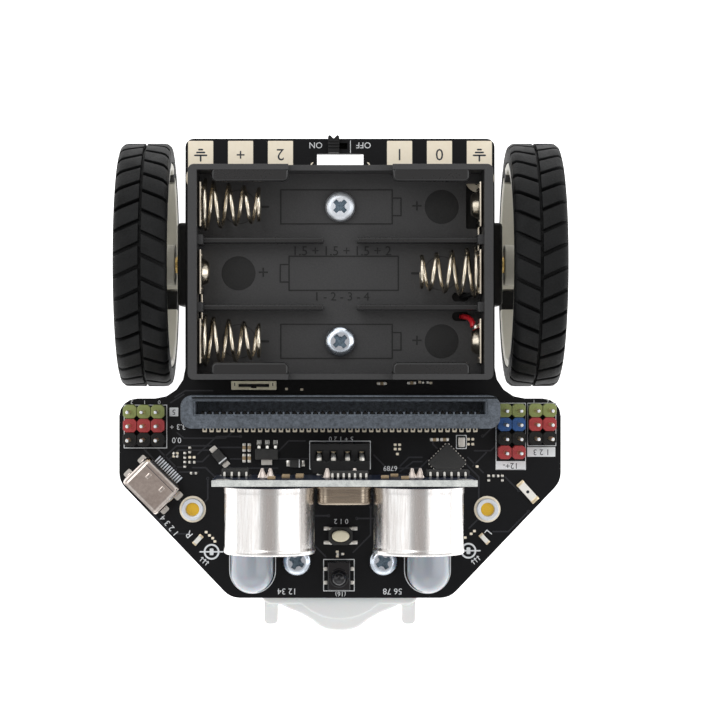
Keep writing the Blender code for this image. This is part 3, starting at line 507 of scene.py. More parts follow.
# Each finish: its bright and its dull colour, or one of the robot's colours with a factor; the least and
# the most roughness; the height of its grain; and the values that differ from the usual ones.
FINISHES = {
    "solder_mask": (("board", 1.15), ("board", 0.8), (0.33, 0.42), 0.12,
                    {"cloud": 90.0, "grain": 2600.0, "specular": 0.22}),
    "mask_over_copper": (("board", 4.5), ("board", 3.4), (0.28, 0.36), 0.08, {}),
    "silk_ink": ((0.80, 0.82, 0.83), (0.68, 0.70, 0.72), (0.6, 0.7), 0.2, {}),
    "dark_ink": ((0.02, 0.024, 0.035), (0.012, 0.015, 0.024), (0.5, 0.6), 0.1, {}),
    "gold_plate": ((1.0, 0.91, 0.74), (0.96, 0.86, 0.68), (0.34, 0.46), 0.25,
                   {"metallic": 0.15, "grain": 1500.0}),
    "contact_gold": ((0.92, 0.80, 0.58), (0.80, 0.66, 0.44), (0.25, 0.38), 0.15, {"metallic": 1.0}),
    "shaded_contact": ((0.055, 0.05, 0.045), (0.03, 0.03, 0.03), (0.35, 0.5), 0.1, {"metallic": 0.6}),
    "battery_box_plastic": (("box", 1.15), ("box", 0.85), (0.40, 0.52), 0.22,
                            {"cloud": 60.0, "grain": 3200.0}),
    # The lips and dividers: the box plastic, glossier, and darker as painted shade.
    "polished_box_plastic": (("box", 0.5), ("box", 0.4), (0.26, 0.32), 0.02, {"grain": 2200.0}),
    "ejector_mark_plastic": (("box", 0.05), ("box", 0.04), (0.55, 0.65), 0.3, {"grain": 5200.0}),
    "moulded_black_plastic": ((0.008, 0.008, 0.0084), (0.005, 0.005, 0.0054), (0.45, 0.58), 0.3,
                              {"grain": 5000.0, "specular": 0.3}),
    "chip_moulding": ((0.026, 0.026, 0.025), (0.017, 0.017, 0.017), (0.55, 0.68), 0.5, {"grain": 7000.0}),
    "gloss_black_epoxy": ((0.008, 0.008, 0.010), (0.006, 0.006, 0.008), (0.10, 0.16), 0.02, {}),
    "slate_plastic": (("slate", 1.5), ("slate", 0.55), (0.50, 0.66), 0.5,
                      {"cloud": 1500.0, "grain": 4200.0, "contrast": 1.1}),
    "shaded_slate_plastic": (("slate", 0.35), ("slate", 0.25), (0.45, 0.6), 0.3, {"grain": 4200.0}),
    "moulded_tyre_rubber": (("rubber", 2.0), ("rubber", 1.0), (0.50, 0.7), 0.5,
                            {"cloud": 260.0, "grain": 3600.0, "specular": 0.2}),
    "moulded_rim_plastic": (("rim", 1.0), ("rim", 0.93), (0.42, 0.55), 0.15,
                            {"cloud": 90.0, "grain": 2800.0}),
    "moulded_caster_plastic": (("caster", 1.0), ("caster", 0.96), (0.36, 0.46), 0.1,
                               {"cloud": 70.0, "subsurface": 0.1, "scatter": 0.0008}),
    "milky_lens_resin": (("lens", 1.0), ("lens", 0.95), (0.16, 0.24), 0.02,
                         {"cloud": 90.0, "subsurface": 0.6, "scatter": 0.003, "coat": 0.5,
                          "coat_roughness": 0.08}),
    "bright_spring_nickel": ((0.86, 0.79, 0.66), (0.70, 0.62, 0.50), (0.14, 0.26), 0.06,
                             {"metallic": 1.0, "cloud": 500.0}),
    "zinc_plate": ((0.82, 0.88, 0.96), (0.66, 0.73, 0.82), (0.16, 0.30), 0.08,
                   {"metallic": 1.0, "cloud": 700.0}),
    "white_zinc_plate": ((0.90, 0.93, 0.97), (0.78, 0.83, 0.90), (0.34, 0.46), 0.12,
                         {"metallic": 0.85, "cloud": 500.0}),
    # Painted shade for the floors of the screw recesses.
    "recess_steel": ((0.20, 0.27, 0.33), (0.07, 0.10, 0.13), (0.3, 0.45), 0.3,
                     {"metallic": 0.7, "cloud": 900.0}),
    "solder_tin": ((0.86, 0.84, 0.79), (0.72, 0.70, 0.65), (0.26, 0.38), 0.04,
                   {"metallic": 1.0, "cloud": 500.0, "grain": 1500.0}),
    "stamped_steel": ((0.72, 0.65, 0.60), (0.52, 0.45, 0.41), (0.12, 0.2), 0.02,
                      {"metallic": 1.0, "cloud": 200.0, "grain": 1500.0}),
    "drawn_aluminium": ((0.80, 0.79, 0.78), (0.70, 0.67, 0.65), (0.19, 0.30), 0.05,
                        {"metallic": 1.0, "streaks": (2600.0, 240.0, 2600.0)}),
    "crystal_can_metal": ((0.44, 0.37, 0.29), (0.30, 0.25, 0.20), (0.22, 0.34), 0.03,
                          {"metallic": 1.0, "streaks": (300.0, 2600.0, 300.0)}),
    "turned_brass": ((0.88, 0.64, 0.25), (0.74, 0.50, 0.18), (0.20, 0.34), 0.08, {"metallic": 1.0}),
    "amber_film": ((0.85, 0.52, 0.03), (0.72, 0.42, 0.02), (0.22, 0.34), 0.05,
                   {"cloud": 700.0, "coat": 0.4}),
    "moulded_cream_plastic": ((0.98, 0.92, 0.70), (0.90, 0.84, 0.62), (0.42, 0.55), 0.2, {}),
    "key_cap_plastic": ((0.94, 0.87, 0.66), (0.86, 0.79, 0.59), (0.42, 0.52), 0.2, {}),
    "chip_ceramic": ((0.42, 0.31, 0.18), (0.32, 0.23, 0.13), (0.4, 0.5), 0.2, {}),
    "indicator_body": ((0.86, 0.85, 0.80), (0.78, 0.76, 0.70), (0.35, 0.45), 0.1, {}),
    "red_insulation": ((0.62, 0.02, 0.03), (0.45, 0.012, 0.02), (0.25, 0.36), 0.05, {}),
    "sensor_solder_mask": ((0.006, 0.012, 0.035), (0.004, 0.009, 0.026), (0.28, 0.36), 0.1, {}),
    "pale_laminate": ((0.72, 0.74, 0.71), (0.40, 0.42, 0.41), (0.40, 0.55), 0.35,
                      {"cloud": 800.0, "grain": 5200.0}),
    "sensor_gauze": ((0.10, 0.10, 0.10), (0.05, 0.05, 0.05), (0.45, 0.6), 0.2, {"metallic": 0.6}),
    "signal_strip_plastic": (("signal", 1.1), ("signal", 0.85), (0.36, 0.5), 0.2, {"grain": 3800.0}),
    "power_strip_plastic": (("power", 1.1), ("power", 0.85), (0.36, 0.5), 0.2, {"grain": 3800.0}),
    "data_strip_plastic": (("data", 1.1), ("data", 0.85), (0.36, 0.5), 0.2, {"grain": 3800.0}),
}


def mixed(colour):
    """A plain colour, or one of the robot's own colours made lighter or darker by a factor."""
    if len(colour) == 3:
        return colour
    label, factor = colour
    return tuple(min(1.0, part * factor) for part in getattr(bpy.context.scene.robot_colours, label))


def finish(name):
    """The material of that name, made from its row the first time."""
    bright, dull, roughness, bump, values = FINISHES[name]
    return surface(name, mixed(bright), mixed(dull), roughness, bump, **values)


# Prints and layout --------------------------------------------------------------------------------


def cad(node):
    """Corners of a node as ((x0, y0, z0), (x1, y1, z1)) in millimetres."""
    low, high = corners(node)
    return tuple(low), tuple(high)


def coat(node, material):
    """Gives a carried-over CAD node its finish."""
    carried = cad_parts[node]
    if not carried.material_slots:
        carried.data.materials.append(material)
    for place in carried.material_slots:
        place.material = material


def capsule(start, end, width, low, high):
    """A flat bar with round ends between two points in X and Y."""
    start, end = Vector(start), Vector(end)
    lean = math.degrees(math.atan2(end.y - start.y, end.x - start.x))
    outline = arc(end, width / 2, lean - 90, lean + 90, 4) + arc(start, width / 2, lean + 90, lean + 270, 4)
    return prism(outline, low, high)


def stroke(points, width, thick=INK, base=None):
    """A printed line or a copper track through the points; each stretch is a hair higher than the last."""
    base = BOARD_TOP if base is None else base
    spans = zip(points, points[1:])
    return [capsule(a, b, width, base, base + thick + 0.0005 * (i % 2)) for i, (a, b) in enumerate(spans)]


def loop(points, width, thick=INK):
    return stroke([*points, points[0]], width, thick)


def rectangle(low, high):
    return [(low[0], low[1]), (high[0], low[1]), (high[0], high[1]), (low[0], high[1])]


def patch(low, high, radius=0.1, thick=INK, base=None):
    base = BOARD_TOP if base is None else base
    return prism(pill(low, high, radius, 3), base, base + thick)


def letters(text, centre, height, turned=0, base=None, thick=INK):
    """Plain marks lying flat, read from above."""
    base = BOARD_TOP if base is None else base
    curve = bpy.data.curves.new("marks", "FONT")
    curve.body = text
    curve.size = height * 1.37 * MM
    curve.align_x = "CENTER"
    curve.align_y = "CENTER"
    curve.extrude = thick / 2 * MM
    curve.resolution_u = 3
    holder = bpy.data.objects.new("marks", curve)
    bpy.context.scene.collection.objects.link(holder)
    graph = bpy.context.evaluated_depsgraph_get()
    data = bpy.data.meshes.new_from_object(holder.evaluated_get(graph))
    shape = bmesh.new()
    shape.from_mesh(data)
    bpy.data.objects.remove(holder, do_unlink=True)
    bpy.data.curves.remove(curve)
    bpy.data.meshes.remove(data)
    bmesh.ops.remove_doubles(shape, verts=shape.verts, dist=0.0000005)
    turn(shape, turned, "Z")
    return move(shape, (*centre, base + thick / 2))


def ground_mark(centre, scale, turned, base):
    """Three bars of falling length under a stem."""
    x, y = centre
    sign = -1 if turned else 1
    bars = stroke([(x, y + sign * scale), (x, y + sign * scale * 0.25)], 0.24 * scale, base=base)
    for i, reach in enumerate((0.85, 0.55, 0.25)):
        level = y + sign * scale * (0.2 - 0.42 * i)
        bars += stroke([(x - reach * scale, level), (x + reach * scale, level)], 0.24 * scale, base=base)
    return bars


def spline(points, steps=6):
    """A smooth path through the points."""
    points = [Vector(p) for p in points]
    ends = [2 * points[0] - points[1], *points, 2 * points[-1] - points[-2]]
    path = []
    for a, b, c, d in zip(ends, ends[1:], ends[2:], ends[3:]):
        for i in range(steps):
            t = i / steps
            path.append(0.5 * (2 * b + (c - a) * t + (2 * a - 5 * b + 4 * c - d) * t * t
                               + (3 * b - 3 * c + d - a) * t ** 3))
    return path + [points[-1]]


# Stage --------------------------------------------------------------------------------------------


def studio_floor():
    material = surface("studio_floor", (0.93, 0.93, 0.93), (0.91, 0.91, 0.91), (0.85, 0.95), 0.0, cloud=3.0,
                       grain=40.0)
    shader = material.node_tree.nodes["Principled BSDF"]
    shader.inputs["Emission Color"].default_value = (1, 1, 1, 1)
    shader.inputs["Emission Strength"].default_value = 0.9
    return material


def area_light(name, place, size, power):
    """A soft rectangular light turned to the robot."""
    data = bpy.data.lights.new(name, "AREA")
    data.shape = "RECTANGLE"
    data.size, data.size_y = size
    data.energy = power
    lamp = bpy.data.objects.new(name, data)
    lamp.location = place
    lamp.rotation_euler = (LIT_POINT - Vector(place)).to_track_quat("-Z", "Y").to_euler()
    bpy.context.scene.collection.objects.link(lamp)


def high_light(toward, strength, spread):
    """A distant light with a wide soft disc, shining along the given direction."""
    data = bpy.data.lights.new("high_light", "SUN")
    data.energy = strength
    data.angle = math.radians(spread)
    light = bpy.data.objects.new("high_light", data)
    bpy.context.scene.collection.objects.link(light)
    light.rotation_euler = Vector(toward).to_track_quat("-Z", "Y").to_euler()


def studio_world():
    """Soft light from all round, dimmer straight overhead so that dark surfaces stay dark."""
    world = bpy.data.worlds.new("studio")
    world.use_nodes = True
    nodes = world.node_tree.nodes
    link = world.node_tree.links.new
    place = nodes.new("ShaderNodeTexCoord")
    split = nodes.new("ShaderNodeSeparateXYZ")
    ramp = nodes.new("ShaderNodeValToRGB")
    link(place.outputs["Generated"], split.inputs["Vector"])
    link(split.outputs["Z"], ramp.inputs["Fac"])
    link(ramp.outputs["Color"], nodes["Background"].inputs["Color"])
    stops = ramp.color_ramp.elements
    stops[0].position, stops[0].color = 0.0, (0.85, 0.85, 0.85, 1)
    stops[1].position, stops[1].color = 1.0, (0.52, 0.475, 0.455, 1)
    for position, level in ((0.35, 0.80), (0.55, 0.70), (0.72, 1.0), (0.86, 0.95), (0.94, 0.52)):
        stops.new(position).color = (level, level, level, 1)
    nodes["Background"].inputs["Strength"].default_value = 0.85
    bpy.context.scene.world = world


class ROBOT_OT_stage(bpy.types.Operator):
    """Pale floor, soft studio light and the camera straight above"""

    bl_idname = "robot.stage"
    bl_label = "Stage"

    def execute(self, context):
        shape = bmesh.new()
        bmesh.ops.create_grid(shape, x_segments=4, y_segments=4, size=1.5)
        floor = loose_object(shape, "studio_floor")
        floor.data.materials.append(studio_floor())
        studio_world()
        high_light((0.35, -0.42, -0.84), 0.5, 34)
        area_light("left_softbox", (-0.80, 0.05, 0.62), (0.55, 1.2), 1.2)
        area_light("right_softbox", (0.80, 0.05, 0.62), (0.55, 1.2), 2.4)
        area_light("rear_softbox", (0.0, 0.90, 0.62), (1.2, 0.4), 1.2)
        area_light("front_softbox", (0.0, -0.90, 0.62), (1.2, 0.4), 1.2)
        data = bpy.data.cameras.new("overhead_camera")
        data.lens = 126.2
        data.sensor_width = 36.0
        data.shift_x = 0.0528
        camera = bpy.data.objects.new("overhead_camera", data)
        camera.location = (-0.0033, 0.0044, 0.491)
        context.scene.collection.objects.link(camera)
        context.scene.camera = camera
        context.scene.view_settings.view_transform = "Standard"
        return {"FINISHED"}


# Main board ---------------------------------------------------------------------------------------


PAD_CENTRES = (10.9, 18.2, 25.5)
SMALL_PAD = (0.52, 0.45)


def big_pads():
    shapes = []
    for side in SIGNS:
        for x in PAD_CENTRES:
            shapes.append(patch((side * x - 2.3, 38.6), (side * x + 2.3, 44.5), 0.12, 0.035))
            shapes.append(ring((side * x, 37.7), 1.4, 2.7, BOARD_TOP, BOARD_TOP + 0.03))
    for side in SIGNS:
        shapes.append(ring((side * NUT_X, NUT_Y), 1.75, 2.42, BOARD_TOP, BOARD_TOP + 0.035))
    return shapes


def slot_arcs():
    shapes = []
    for x, start in ((-4.75, 115), (4.85, -65)):
        shapes += stroke(arc((x, 40.0), 0.55, start, start + 130, 6), 0.22, 0.03)
    return shapes


LEFT_CLUSTER = (
    (-27.5, -11.7), (-27.5, -12.4), (-28.4, -12.7), (-28.4, -13.4), (-27.5, -13.4), (-26.7, -13.4),
    (-28.4, -14.3), (-27.5, -14.3), (-26.7, -14.3), (-28.4, -15.1), (-29.8, -12.7), (-30.4, -13.2),
    (-27.2, -16.3), (-26.4, -16.3),
)
RIGHT_CLUSTER = (
    (10.1, -11.1), (10.9, -11.1), (10.1, -11.9), (10.9, -11.9), (10.5, -12.8), (23.5, -10.1), (24.3, -10.1),
    (23.5, -11.0), (24.3, -11.0), (25.1, -15.1), (27.2, -16.8), (27.2, -17.6), (28.1, -16.8), (28.9, -16.8),
    (29.7, -16.8), (29.7, -17.6),
)
REST_PADS = (
    (7.0, 0.1), (8.3, 0.1), (12.7, 0.2), (13.5, 0.2), (14.6, 0.35), (16.6, 0.2), (-9.8, -0.9), (-7.0, -1.0),
    (0.5, -31.1), (-0.5, -30.7), (-0.5, -31.5), (-24.5, -27.1), (-23.9, -27.7), (-23.3, -28.2),
    (-22.9, -28.8), (22.9, -28.1), (24.0, -27.4), (24.6, -26.9),
)


def small_pads():
    wide, deep = SMALL_PAD
    low = (-wide / 2, -deep / 2)
    pad = patch(low, (wide / 2, deep / 2), 0.12, 0.03)
    return repeated(pad, [(x, y, 0) for x, y in LEFT_CLUSTER + RIGHT_CLUSTER + REST_PADS])


def pad_marks():
    """Dark marks printed on the six big pads, read from behind."""
    base = BOARD_TOP + 0.035
    shapes = ground_mark((-25.5, 42.1), 1.25, True, base) + ground_mark((25.5, 42.1), 1.25, True, base)
    for text, x in (("+", -18.2), ("2", -10.9), ("1", 10.9), ("0", 18.2)):
        shapes.append(letters(text, (x, 42.1), 2.2, 180, base))
    return shapes


def line_sensor_mark(centre):
    x, y = centre
    shapes = [ring(centre, 1.12, 1.45, BOARD_TOP, BOARD_TOP + INK, 40)]
    shapes += stroke([(x - 2.1, y), (x + 2.1, y)], 0.26, INK + 0.002)
    shapes.append(patch((x - 0.36, y - 0.62), (x + 0.36, y + 0.62), 0.2, INK + 0.004))
    lean = 38 if x < 0 else -38
    for i in (-1, 0, 1):
        arrow = stroke([(x + 0.62 * i, y - 1.75), (x + 0.62 * i, y - 2.6)], 0.15)
        arrow += stroke([(x + 0.62 * i - 0.22, y - 2.0), (x + 0.62 * i, y - 1.75),
                         (x + 0.62 * i + 0.22, y - 2.0)], 0.13)
        shapes += [turn(shape, -lean, "Z", (x, y, 0)) for shape in arrow]
    return shapes


def port_outlines():
    shapes = []
    for low, high, width in (
        ((-39.5, -11.7), (-31.7, -3.85), 0.14), ((28.55, -15.7), (33.95, -3.5), 0.12),
        ((34.35, -11.3), (39.5, -3.5), 0.12), ((21.3, -11.8), (23.1, -9.4), 0.16),
        ((-3.0, -37.85), (2.6, -32.1), 0.15), ((-5.55, -15.55), (5.55, -10.45), 0.15),
    ):
        shapes += loop(rectangle(low, high), width)
    for side in SIGNS:
        x = side * LAMP_X
        shapes += stroke([(x - 4.2, -27.0), *arc((x, -34.1), 4.2, 180, 360, 24), (x + 4.2, -27.0)], 0.16)
    shapes += stroke([(1.9, 42.3), (1.9, 44.5)], 0.12)
    return shapes


def printed_words():
    """Plain numbers and signs where the board is printed."""
    rows = [
        ("ON", (-4.45, 43.75), 1.15, 180), ("OFF", (4.3, 43.75), 1.15, 180),
        ("R", (-27.6, -27.5), 1.35, 130), ("L", (27.1, -27.2), 1.35, 230),
        ("12 34", (-9.7, -37.9), 1.15, 180), ("56 78", (9.6, -37.9), 1.15, 180),
        ("2", (-38.1, -3.3), 0.75, 180), ("1", (-35.75, -3.3), 0.75, 180), ("0", (-33.1, -3.3), 0.75, 180),
        ("3.3 +", (-29.7, -7.8), 1.05, 180), ("0.0", (-29.9, -10.25), 1.05, 180),
        ("5 + 1 2 0", (0.2, -10.0), 0.9, 180), ("6789", (9.2, -15.4), 0.95, 180),
        ("0 1 2", (0.2, -25.1), 0.95, 180), ("(16)", (0.1, -38.4), 0.9, 180),
        ("1 2 3 4", (-31.2, -25.9), 1.15, 130), ("1", (35.5, -3.25), 0.7, 180),
        ("2", (38.1, -3.25), 0.7, 180),
    ]
    return [letters(text, place, height, turned) for text, place, height, turned in rows]


def label_blocks():
    blocks = [patch((28.5, -15.75), (33.9, -14.1), 0.1), patch((34.25, -13.3), (39.4, -11.55), 0.1)]
    blocks.append(patch((-31.2, -5.9), (-29.6, -4.3), 0.1))
    return blocks


def label_marks():
    base = BOARD_TOP + INK
    marks = [letters("12+-", (31.2, -14.93), 1.1, 180, base),
             letters("1 2 3", (36.85, -12.43), 1.1, 180, base)]
    marks.append(letters("5", (-30.4, -5.1), 1.0, 180, base))
    return marks


def tracks():
    """Copper runs that show as faint ridges under the mask."""
    runs = [
        [(-32.5, -13.7), (-29.9, -11.3), (-23.5, -11.3)], [(-31.2, -13.7), (-29.6, -12.1), (-23.5, -12.1)],
        [(-22.4, -11.6), (-18.0, -11.6)], [(-20.1, -13.7), (-18.0, -13.7)], [(-11.3, -13.7), (-6.0, -13.7)],
        [(-27.6, -14.2), (-25.2, -14.2), (-24.0, -13.0)], [(-27.0, -15.3), (-24.6, -15.3), (-22.8, -17.1)],
        [(-19.6, -15.4), (-11.4, -15.4)], [(-30.2, -2.4), (-28.3, -1.2), (-23.3, -1.2)],
        [(-31.0, -3.4), (-28.6, -1.9)], [(-29.8, -8.9), (-28.6, -9.9), (-21.0, -9.9), (-19.8, -8.9)],
        [(-25.9, -16.1), (-29.3, -16.1)], [(11.0, -15.0), (12.6, -13.4), (15.0, -13.4)],
        [(11.0, -16.0), (13.4, -14.2), (15.0, -14.2)], [(17.0, -10.0), (17.0, -11.0), (17.8, -11.8)],
        [(21.2, -10.4), (21.2, -11.8)], [(24.3, -15.0), (26.8, -12.5)],
        [(-33.2, -12.0), (-30.0, -15.2), (-30.0, -20.6), (-27.0, -23.6)],
        [(-35.8, -12.0), (-32.6, -15.2), (-28.7, -15.2)], [(-26.0, -12.8), (-22.6, -9.6), (-18.2, -9.6)],
        [(-11.6, -12.6), (-9.4, -10.4), (-6.4, -10.4)],
        [(-13.3, -16.0), (-13.3, -19.2), (-8.4, -24.1), (-2.2, -24.1)],
        [(-20.8, -14.6), (-18.2, -17.2), (-18.2, -23.6), (-20.6, -26.0)],
        [(6.2, -13.0), (8.6, -15.4), (14.6, -15.4), (16.2, -13.8)], [(23.4, -13.4), (26.2, -16.2)],
        [(23.0, -14.6), (25.4, -17.0), (25.4, -24.6), (23.6, -26.4)], [(30.2, -17.0), (32.6, -19.4)],
        [(19.6, -18.2), (19.6, -22.0), (12.0, -24.6), (3.2, -24.6)],
        [(18.2, -17.6), (15.4, -20.4), (6.2, -20.4), (3.0, -17.2)],
        [(16.8, -16.6), (13.2, -18.4), (4.4, -18.4)], [(26.2, -9.6), (28.2, -7.6)],
        [(24.6, -12.2), (27.6, -12.2), (28.4, -11.4)], [(-24.2, -17.6), (-24.2, -21.0), (-26.0, -22.8)],
        [(-34.6, -23.4), (-30.6, -27.4), (-27.6, -27.4)], [(34.4, -23.4), (30.8, -27.0), (28.0, -27.0)],
        [(2.4, -30.8), (5.6, -27.6), (5.6, -22.6)],
        [(-2.6, -31.6), (-5.4, -28.8), (-5.4, -20.6), (-8.8, -17.2)],
        [(20.6, -24.0), (22.2, -25.6), (22.2, -29.4)],
    ]
    shapes = []
    for run in runs:
        shapes += stroke(run, 0.28, 0.018)
    return shapes


VIAS = (
    (-24.2, -17.3), (-18.2, -9.6), (-8.8, -17.1), (3.0, -17.1), (4.3, -18.4), (3.1, -24.6), (-2.1, -24.1),
    (25.4, -24.7), (32.7, -19.5), (-30.0, -20.7), (5.6, -22.5), (20.5, -24.0), (-20.7, -26.1), (26.1, -9.5),
    (-34.7, -23.3), (34.5, -23.3), (-13.3, -15.9), (14.7, -15.5), (-5.4, -20.5), (12.0, -24.7),
)


class ROBOT_OT_board(bpy.types.Operator):
    """Finish of the main board, with its pads, tracks and printed marks"""

    bl_idname = "robot.board"
    bl_label = "Main board"

    def execute(self, context):
        coat("main_board", finish("solder_mask"))
        piece("copper_runs", tracks() + [repeated(
            ring((0, 0), 0.14, 0.30, BOARD_TOP, BOARD_TOP + 0.022, 14), [(x, y, 0) for x, y in VIAS])],
            finish("mask_over_copper"))
        piece("plated_pads", big_pads() + slot_arcs() + [small_pads()], finish("gold_plate"))
        piece("pad_marks", pad_marks(), finish("dark_ink"))
        silk = port_outlines() + printed_words() + label_blocks()
        silk += line_sensor_mark((-LINE_SENSOR_X, -30.7)) + line_sensor_mark((LINE_SENSOR_X, -30.5))
        piece("printed_marks", silk, finish("silk_ink"))
        piece("label_marks", label_marks(), finish("dark_ink"))
        places = []
        for columns, first_x, rows, first_y in ((3, -38.29, 3, -5.0), (2, 30.2, 4, -4.78),
                                                (2, 35.6, 3, -4.75)):
            places += [(first_x + c * PITCH, first_y - r * PITCH, 0) for c in range(columns)
                       for r in range(rows)]
        places += [((i - 1.5) * PITCH, SOCKET_PINS_Y, 0) for i in range(4)]
        places += [(side * LAMP_X + x, -26.3, 0) for side in SIGNS for x in (-1.27, 1.27)]
        dome = spun([(0, -0.75), (0.22, -0.72), (0.35, -0.45), (0.62, -0.08), (0.85, 0.0), (0, 0)],
                    (0, 0, BOARD_LOW), (0, 0, 1), 14)
        piece("underside_joints", [repeated(dome, places)], finish("solder_tin"))
        return {"FINISHED"}


# Battery box --------------------------------------------------------------------------------------


def cell_outline(y, nub):
    """The printed outline of a cell on the box floor; nub is the side its + end points to."""
    x0, x1, half = (-10.8, 9.5, 3.1) if nub > 0 else (-9.3, 10.6, 3.1)
    body = [(x0, y - half), (x1, y - half), (x1, y + half), (x0, y + half)]
    end = x1 if nub > 0 else x0
    cap = [(end, y - 1.6), (end + nub * 1.6, y - 1.6), (end + nub * 1.6, y + 1.6), (end, y + 1.6)]
    base = BOX_FLOOR
    return stroke([*body, body[0]], 0.24, 0.10, base) + stroke(cap, 0.24, 0.10, base)


class ROBOT_OT_battery_box(bpy.types.Operator):
    """Moulded battery box with its lips, dividers, cell marks and ejector marks"""

    bl_idname = "robot.battery_box"
    bl_label = "Battery box"

    def execute(self, context):
        (x0, y0, z0), (x1, y1, z1) = cad("battery_box")
        floor = BOX_FLOOR
        outer = prism(pill((x0, y0), (x1, y1), 1.1, 5), z0, z1)
        tools = [block((x0 + 1.6, y0 + 1.0, floor), (x1 - 1.6, y1 - 1.0, z1 + 4))]
        dip = z1 - 2.6
        tools.append(block((-9.3, y0 - 2, dip), (9.3, y0 + 2.6, z1 + 2)))
        tools.append(block((-9.3, y1 - 2.6, dip), (9.3, y1 + 2, z1 + 2)))
        tools.append(prism(pill((22.96, 28.3), (25.45, 36.6), 0.3, 2), z0 - 1, floor + 1))
        for y in (15.9, 12.35):
            tools.append(prism(pill((20.4, y - 0.85), (23.5, y + 0.85), 0.84, 5), z0 - 1, floor + 1))
        for y in (CELL_ROWS[0], CELL_ROWS[2]):
            tools.append(rod((0, y, z0 - 1), (0, y, floor + 1), 1.7))
        shell = rounded(combined(outer, tools), 0.22, 2, 40)
        # Lips and dividers go in a list of their own, glossier and darker than the box as painted shade.
        shapes, painted_shade_parts = [shell], []
        for y in DIVIDERS_Y:
            for low, high in ((x0 + 1.5, -3.05), (3.05, x1 - 1.5)):
                painted_shade_parts.append(block((low, y - 0.45, floor - 0.3), (high, y + 0.45, 36.6), 0.2))
        for y_edge, inward in ((y1, -1), (y0, 1)):
            near, far = sorted((y_edge + inward * 0.5, y_edge + inward * 3.1))
            for low, high in ((-23.0, -9.3), (9.3, 23.0)):
                lip = prism(pill((low, near), (high, far), 0.9, 5), z1 - 1.6, z1 - 0.1, 0.45, 3)
                painted_shade_parts.append(lip)
                for x in (low + 0.6, high - 0.6):
                    wall_low, wall_high = sorted((y_edge + inward * 0.4, y_edge + inward * 1.5))
                    shapes.append(block((x - 0.45, wall_low, floor - 0.2), (x + 0.45, wall_high, z1 - 0.5),
                                        0.15))
        for side in SIGNS:
            wall = side * 25.6
            for y in DIVIDERS_Y:
                low, high = sorted((wall + side * 0.3, wall - side * 1.0))
                shapes.append(block((low, y - 0.9, floor - 0.3), (high, y + 0.9, z1 - 2.4), 0.2))
        piece("battery_box_moulding", shapes, finish("battery_box_plastic"), replaces=["battery_box"],
              sharp=32)
        piece("battery_box_lips", painted_shade_parts, finish("polished_box_plastic"), replaces=["battery_box"],
              sharp=32)
        marks = []
        for y, nub in zip(CELL_ROWS, (1, -1, 1)):
            marks += cell_outline(y, nub)
            marks.append(letters("+", (nub * 14.0, y), 2.6, 0, floor, 0.1))
            marks += stroke([(-nub * 14.0 - 0.9, y), (-nub * 14.0 + 0.9, y)], 0.42, 0.1, floor)
            disc = [(0, 0.06), (3.0, 0.06), (3.1, 0.0), (0, 0)]
            marks.append(spun(disc, (nub * 18.5, y, floor), (0, 0, 1), 48))
            marks.append(ring((-nub * 18.4, y), 3.0, 3.12, floor - 0.1, floor + 0.05, 48))
        marks.append(letters("1.5 + 1.5 + 1.5 + 2", (0.3, 24.2), 1.75, 0, floor, 0.1))
        marks.append(letters("1 - 2 - 3 - 4", (0.3, 15.9), 1.6, 0, floor, 0.1))
        piece("battery_box_marks", marks, finish("ejector_mark_plastic"))
        return {"FINISHED"}


def spring_path(base_x, y, toward):
    """A conical coil whose first and last turns lie flat."""
    turns, steps, length, base_turn, tip_turn = 4.75, 24, 9.6, 0.5, 0.75
    wide, narrow = 4.5, 2.6
    path = []
    for i in range(int(turns * steps) + 1):
        turned = i / steps
        angle = 2 * math.pi * turned
        radius = wide + (narrow - wide) * turned / turns
        rise = (turned - base_turn) / (turns - base_turn - tip_turn)
        x = base_x + toward * length * min(1, max(0, rise))
        path.append((x, y + radius * math.cos(angle), CELL_Z + radius * math.sin(angle)))
    return path


def contact(name, side, areas, buttons):
    """Stamped sheet contact against a side wall; the areas are (y, y, top)."""
    floor = ON_TOP + 1.9
    outer, inner = side * 25.3, side * 24.9
    low_x, high_x = sorted((outer, inner))
    shapes = []
    for y_low, y_high, top in areas:
        shapes.append(block((low_x, y_low, floor), (high_x, y_high, top), 0.12))
    for y in buttons:
        profile = [(0, 1.5), (1.5, 1.5), (1.85, 1.38), (2.1, 1.0), (2.55, 0.25), (3.0, 0.0), (0, 0)]
        shapes.append(spun(profile, (side * 25.0, y, CELL_Z), (-side, 0, 0), 40))
    for y_low, y_high, top in areas:
        if y_high - y_low < 9:
            for y in (y_low + 1.0, y_high - 1.0):
                shapes.append(rod((inner, y, floor + 0.6), (inner, y, top - 0.6), 0.16, sides=10))
    return piece(f"{name}_plate", shapes, finish("bright_spring_nickel"), replaces=[name])


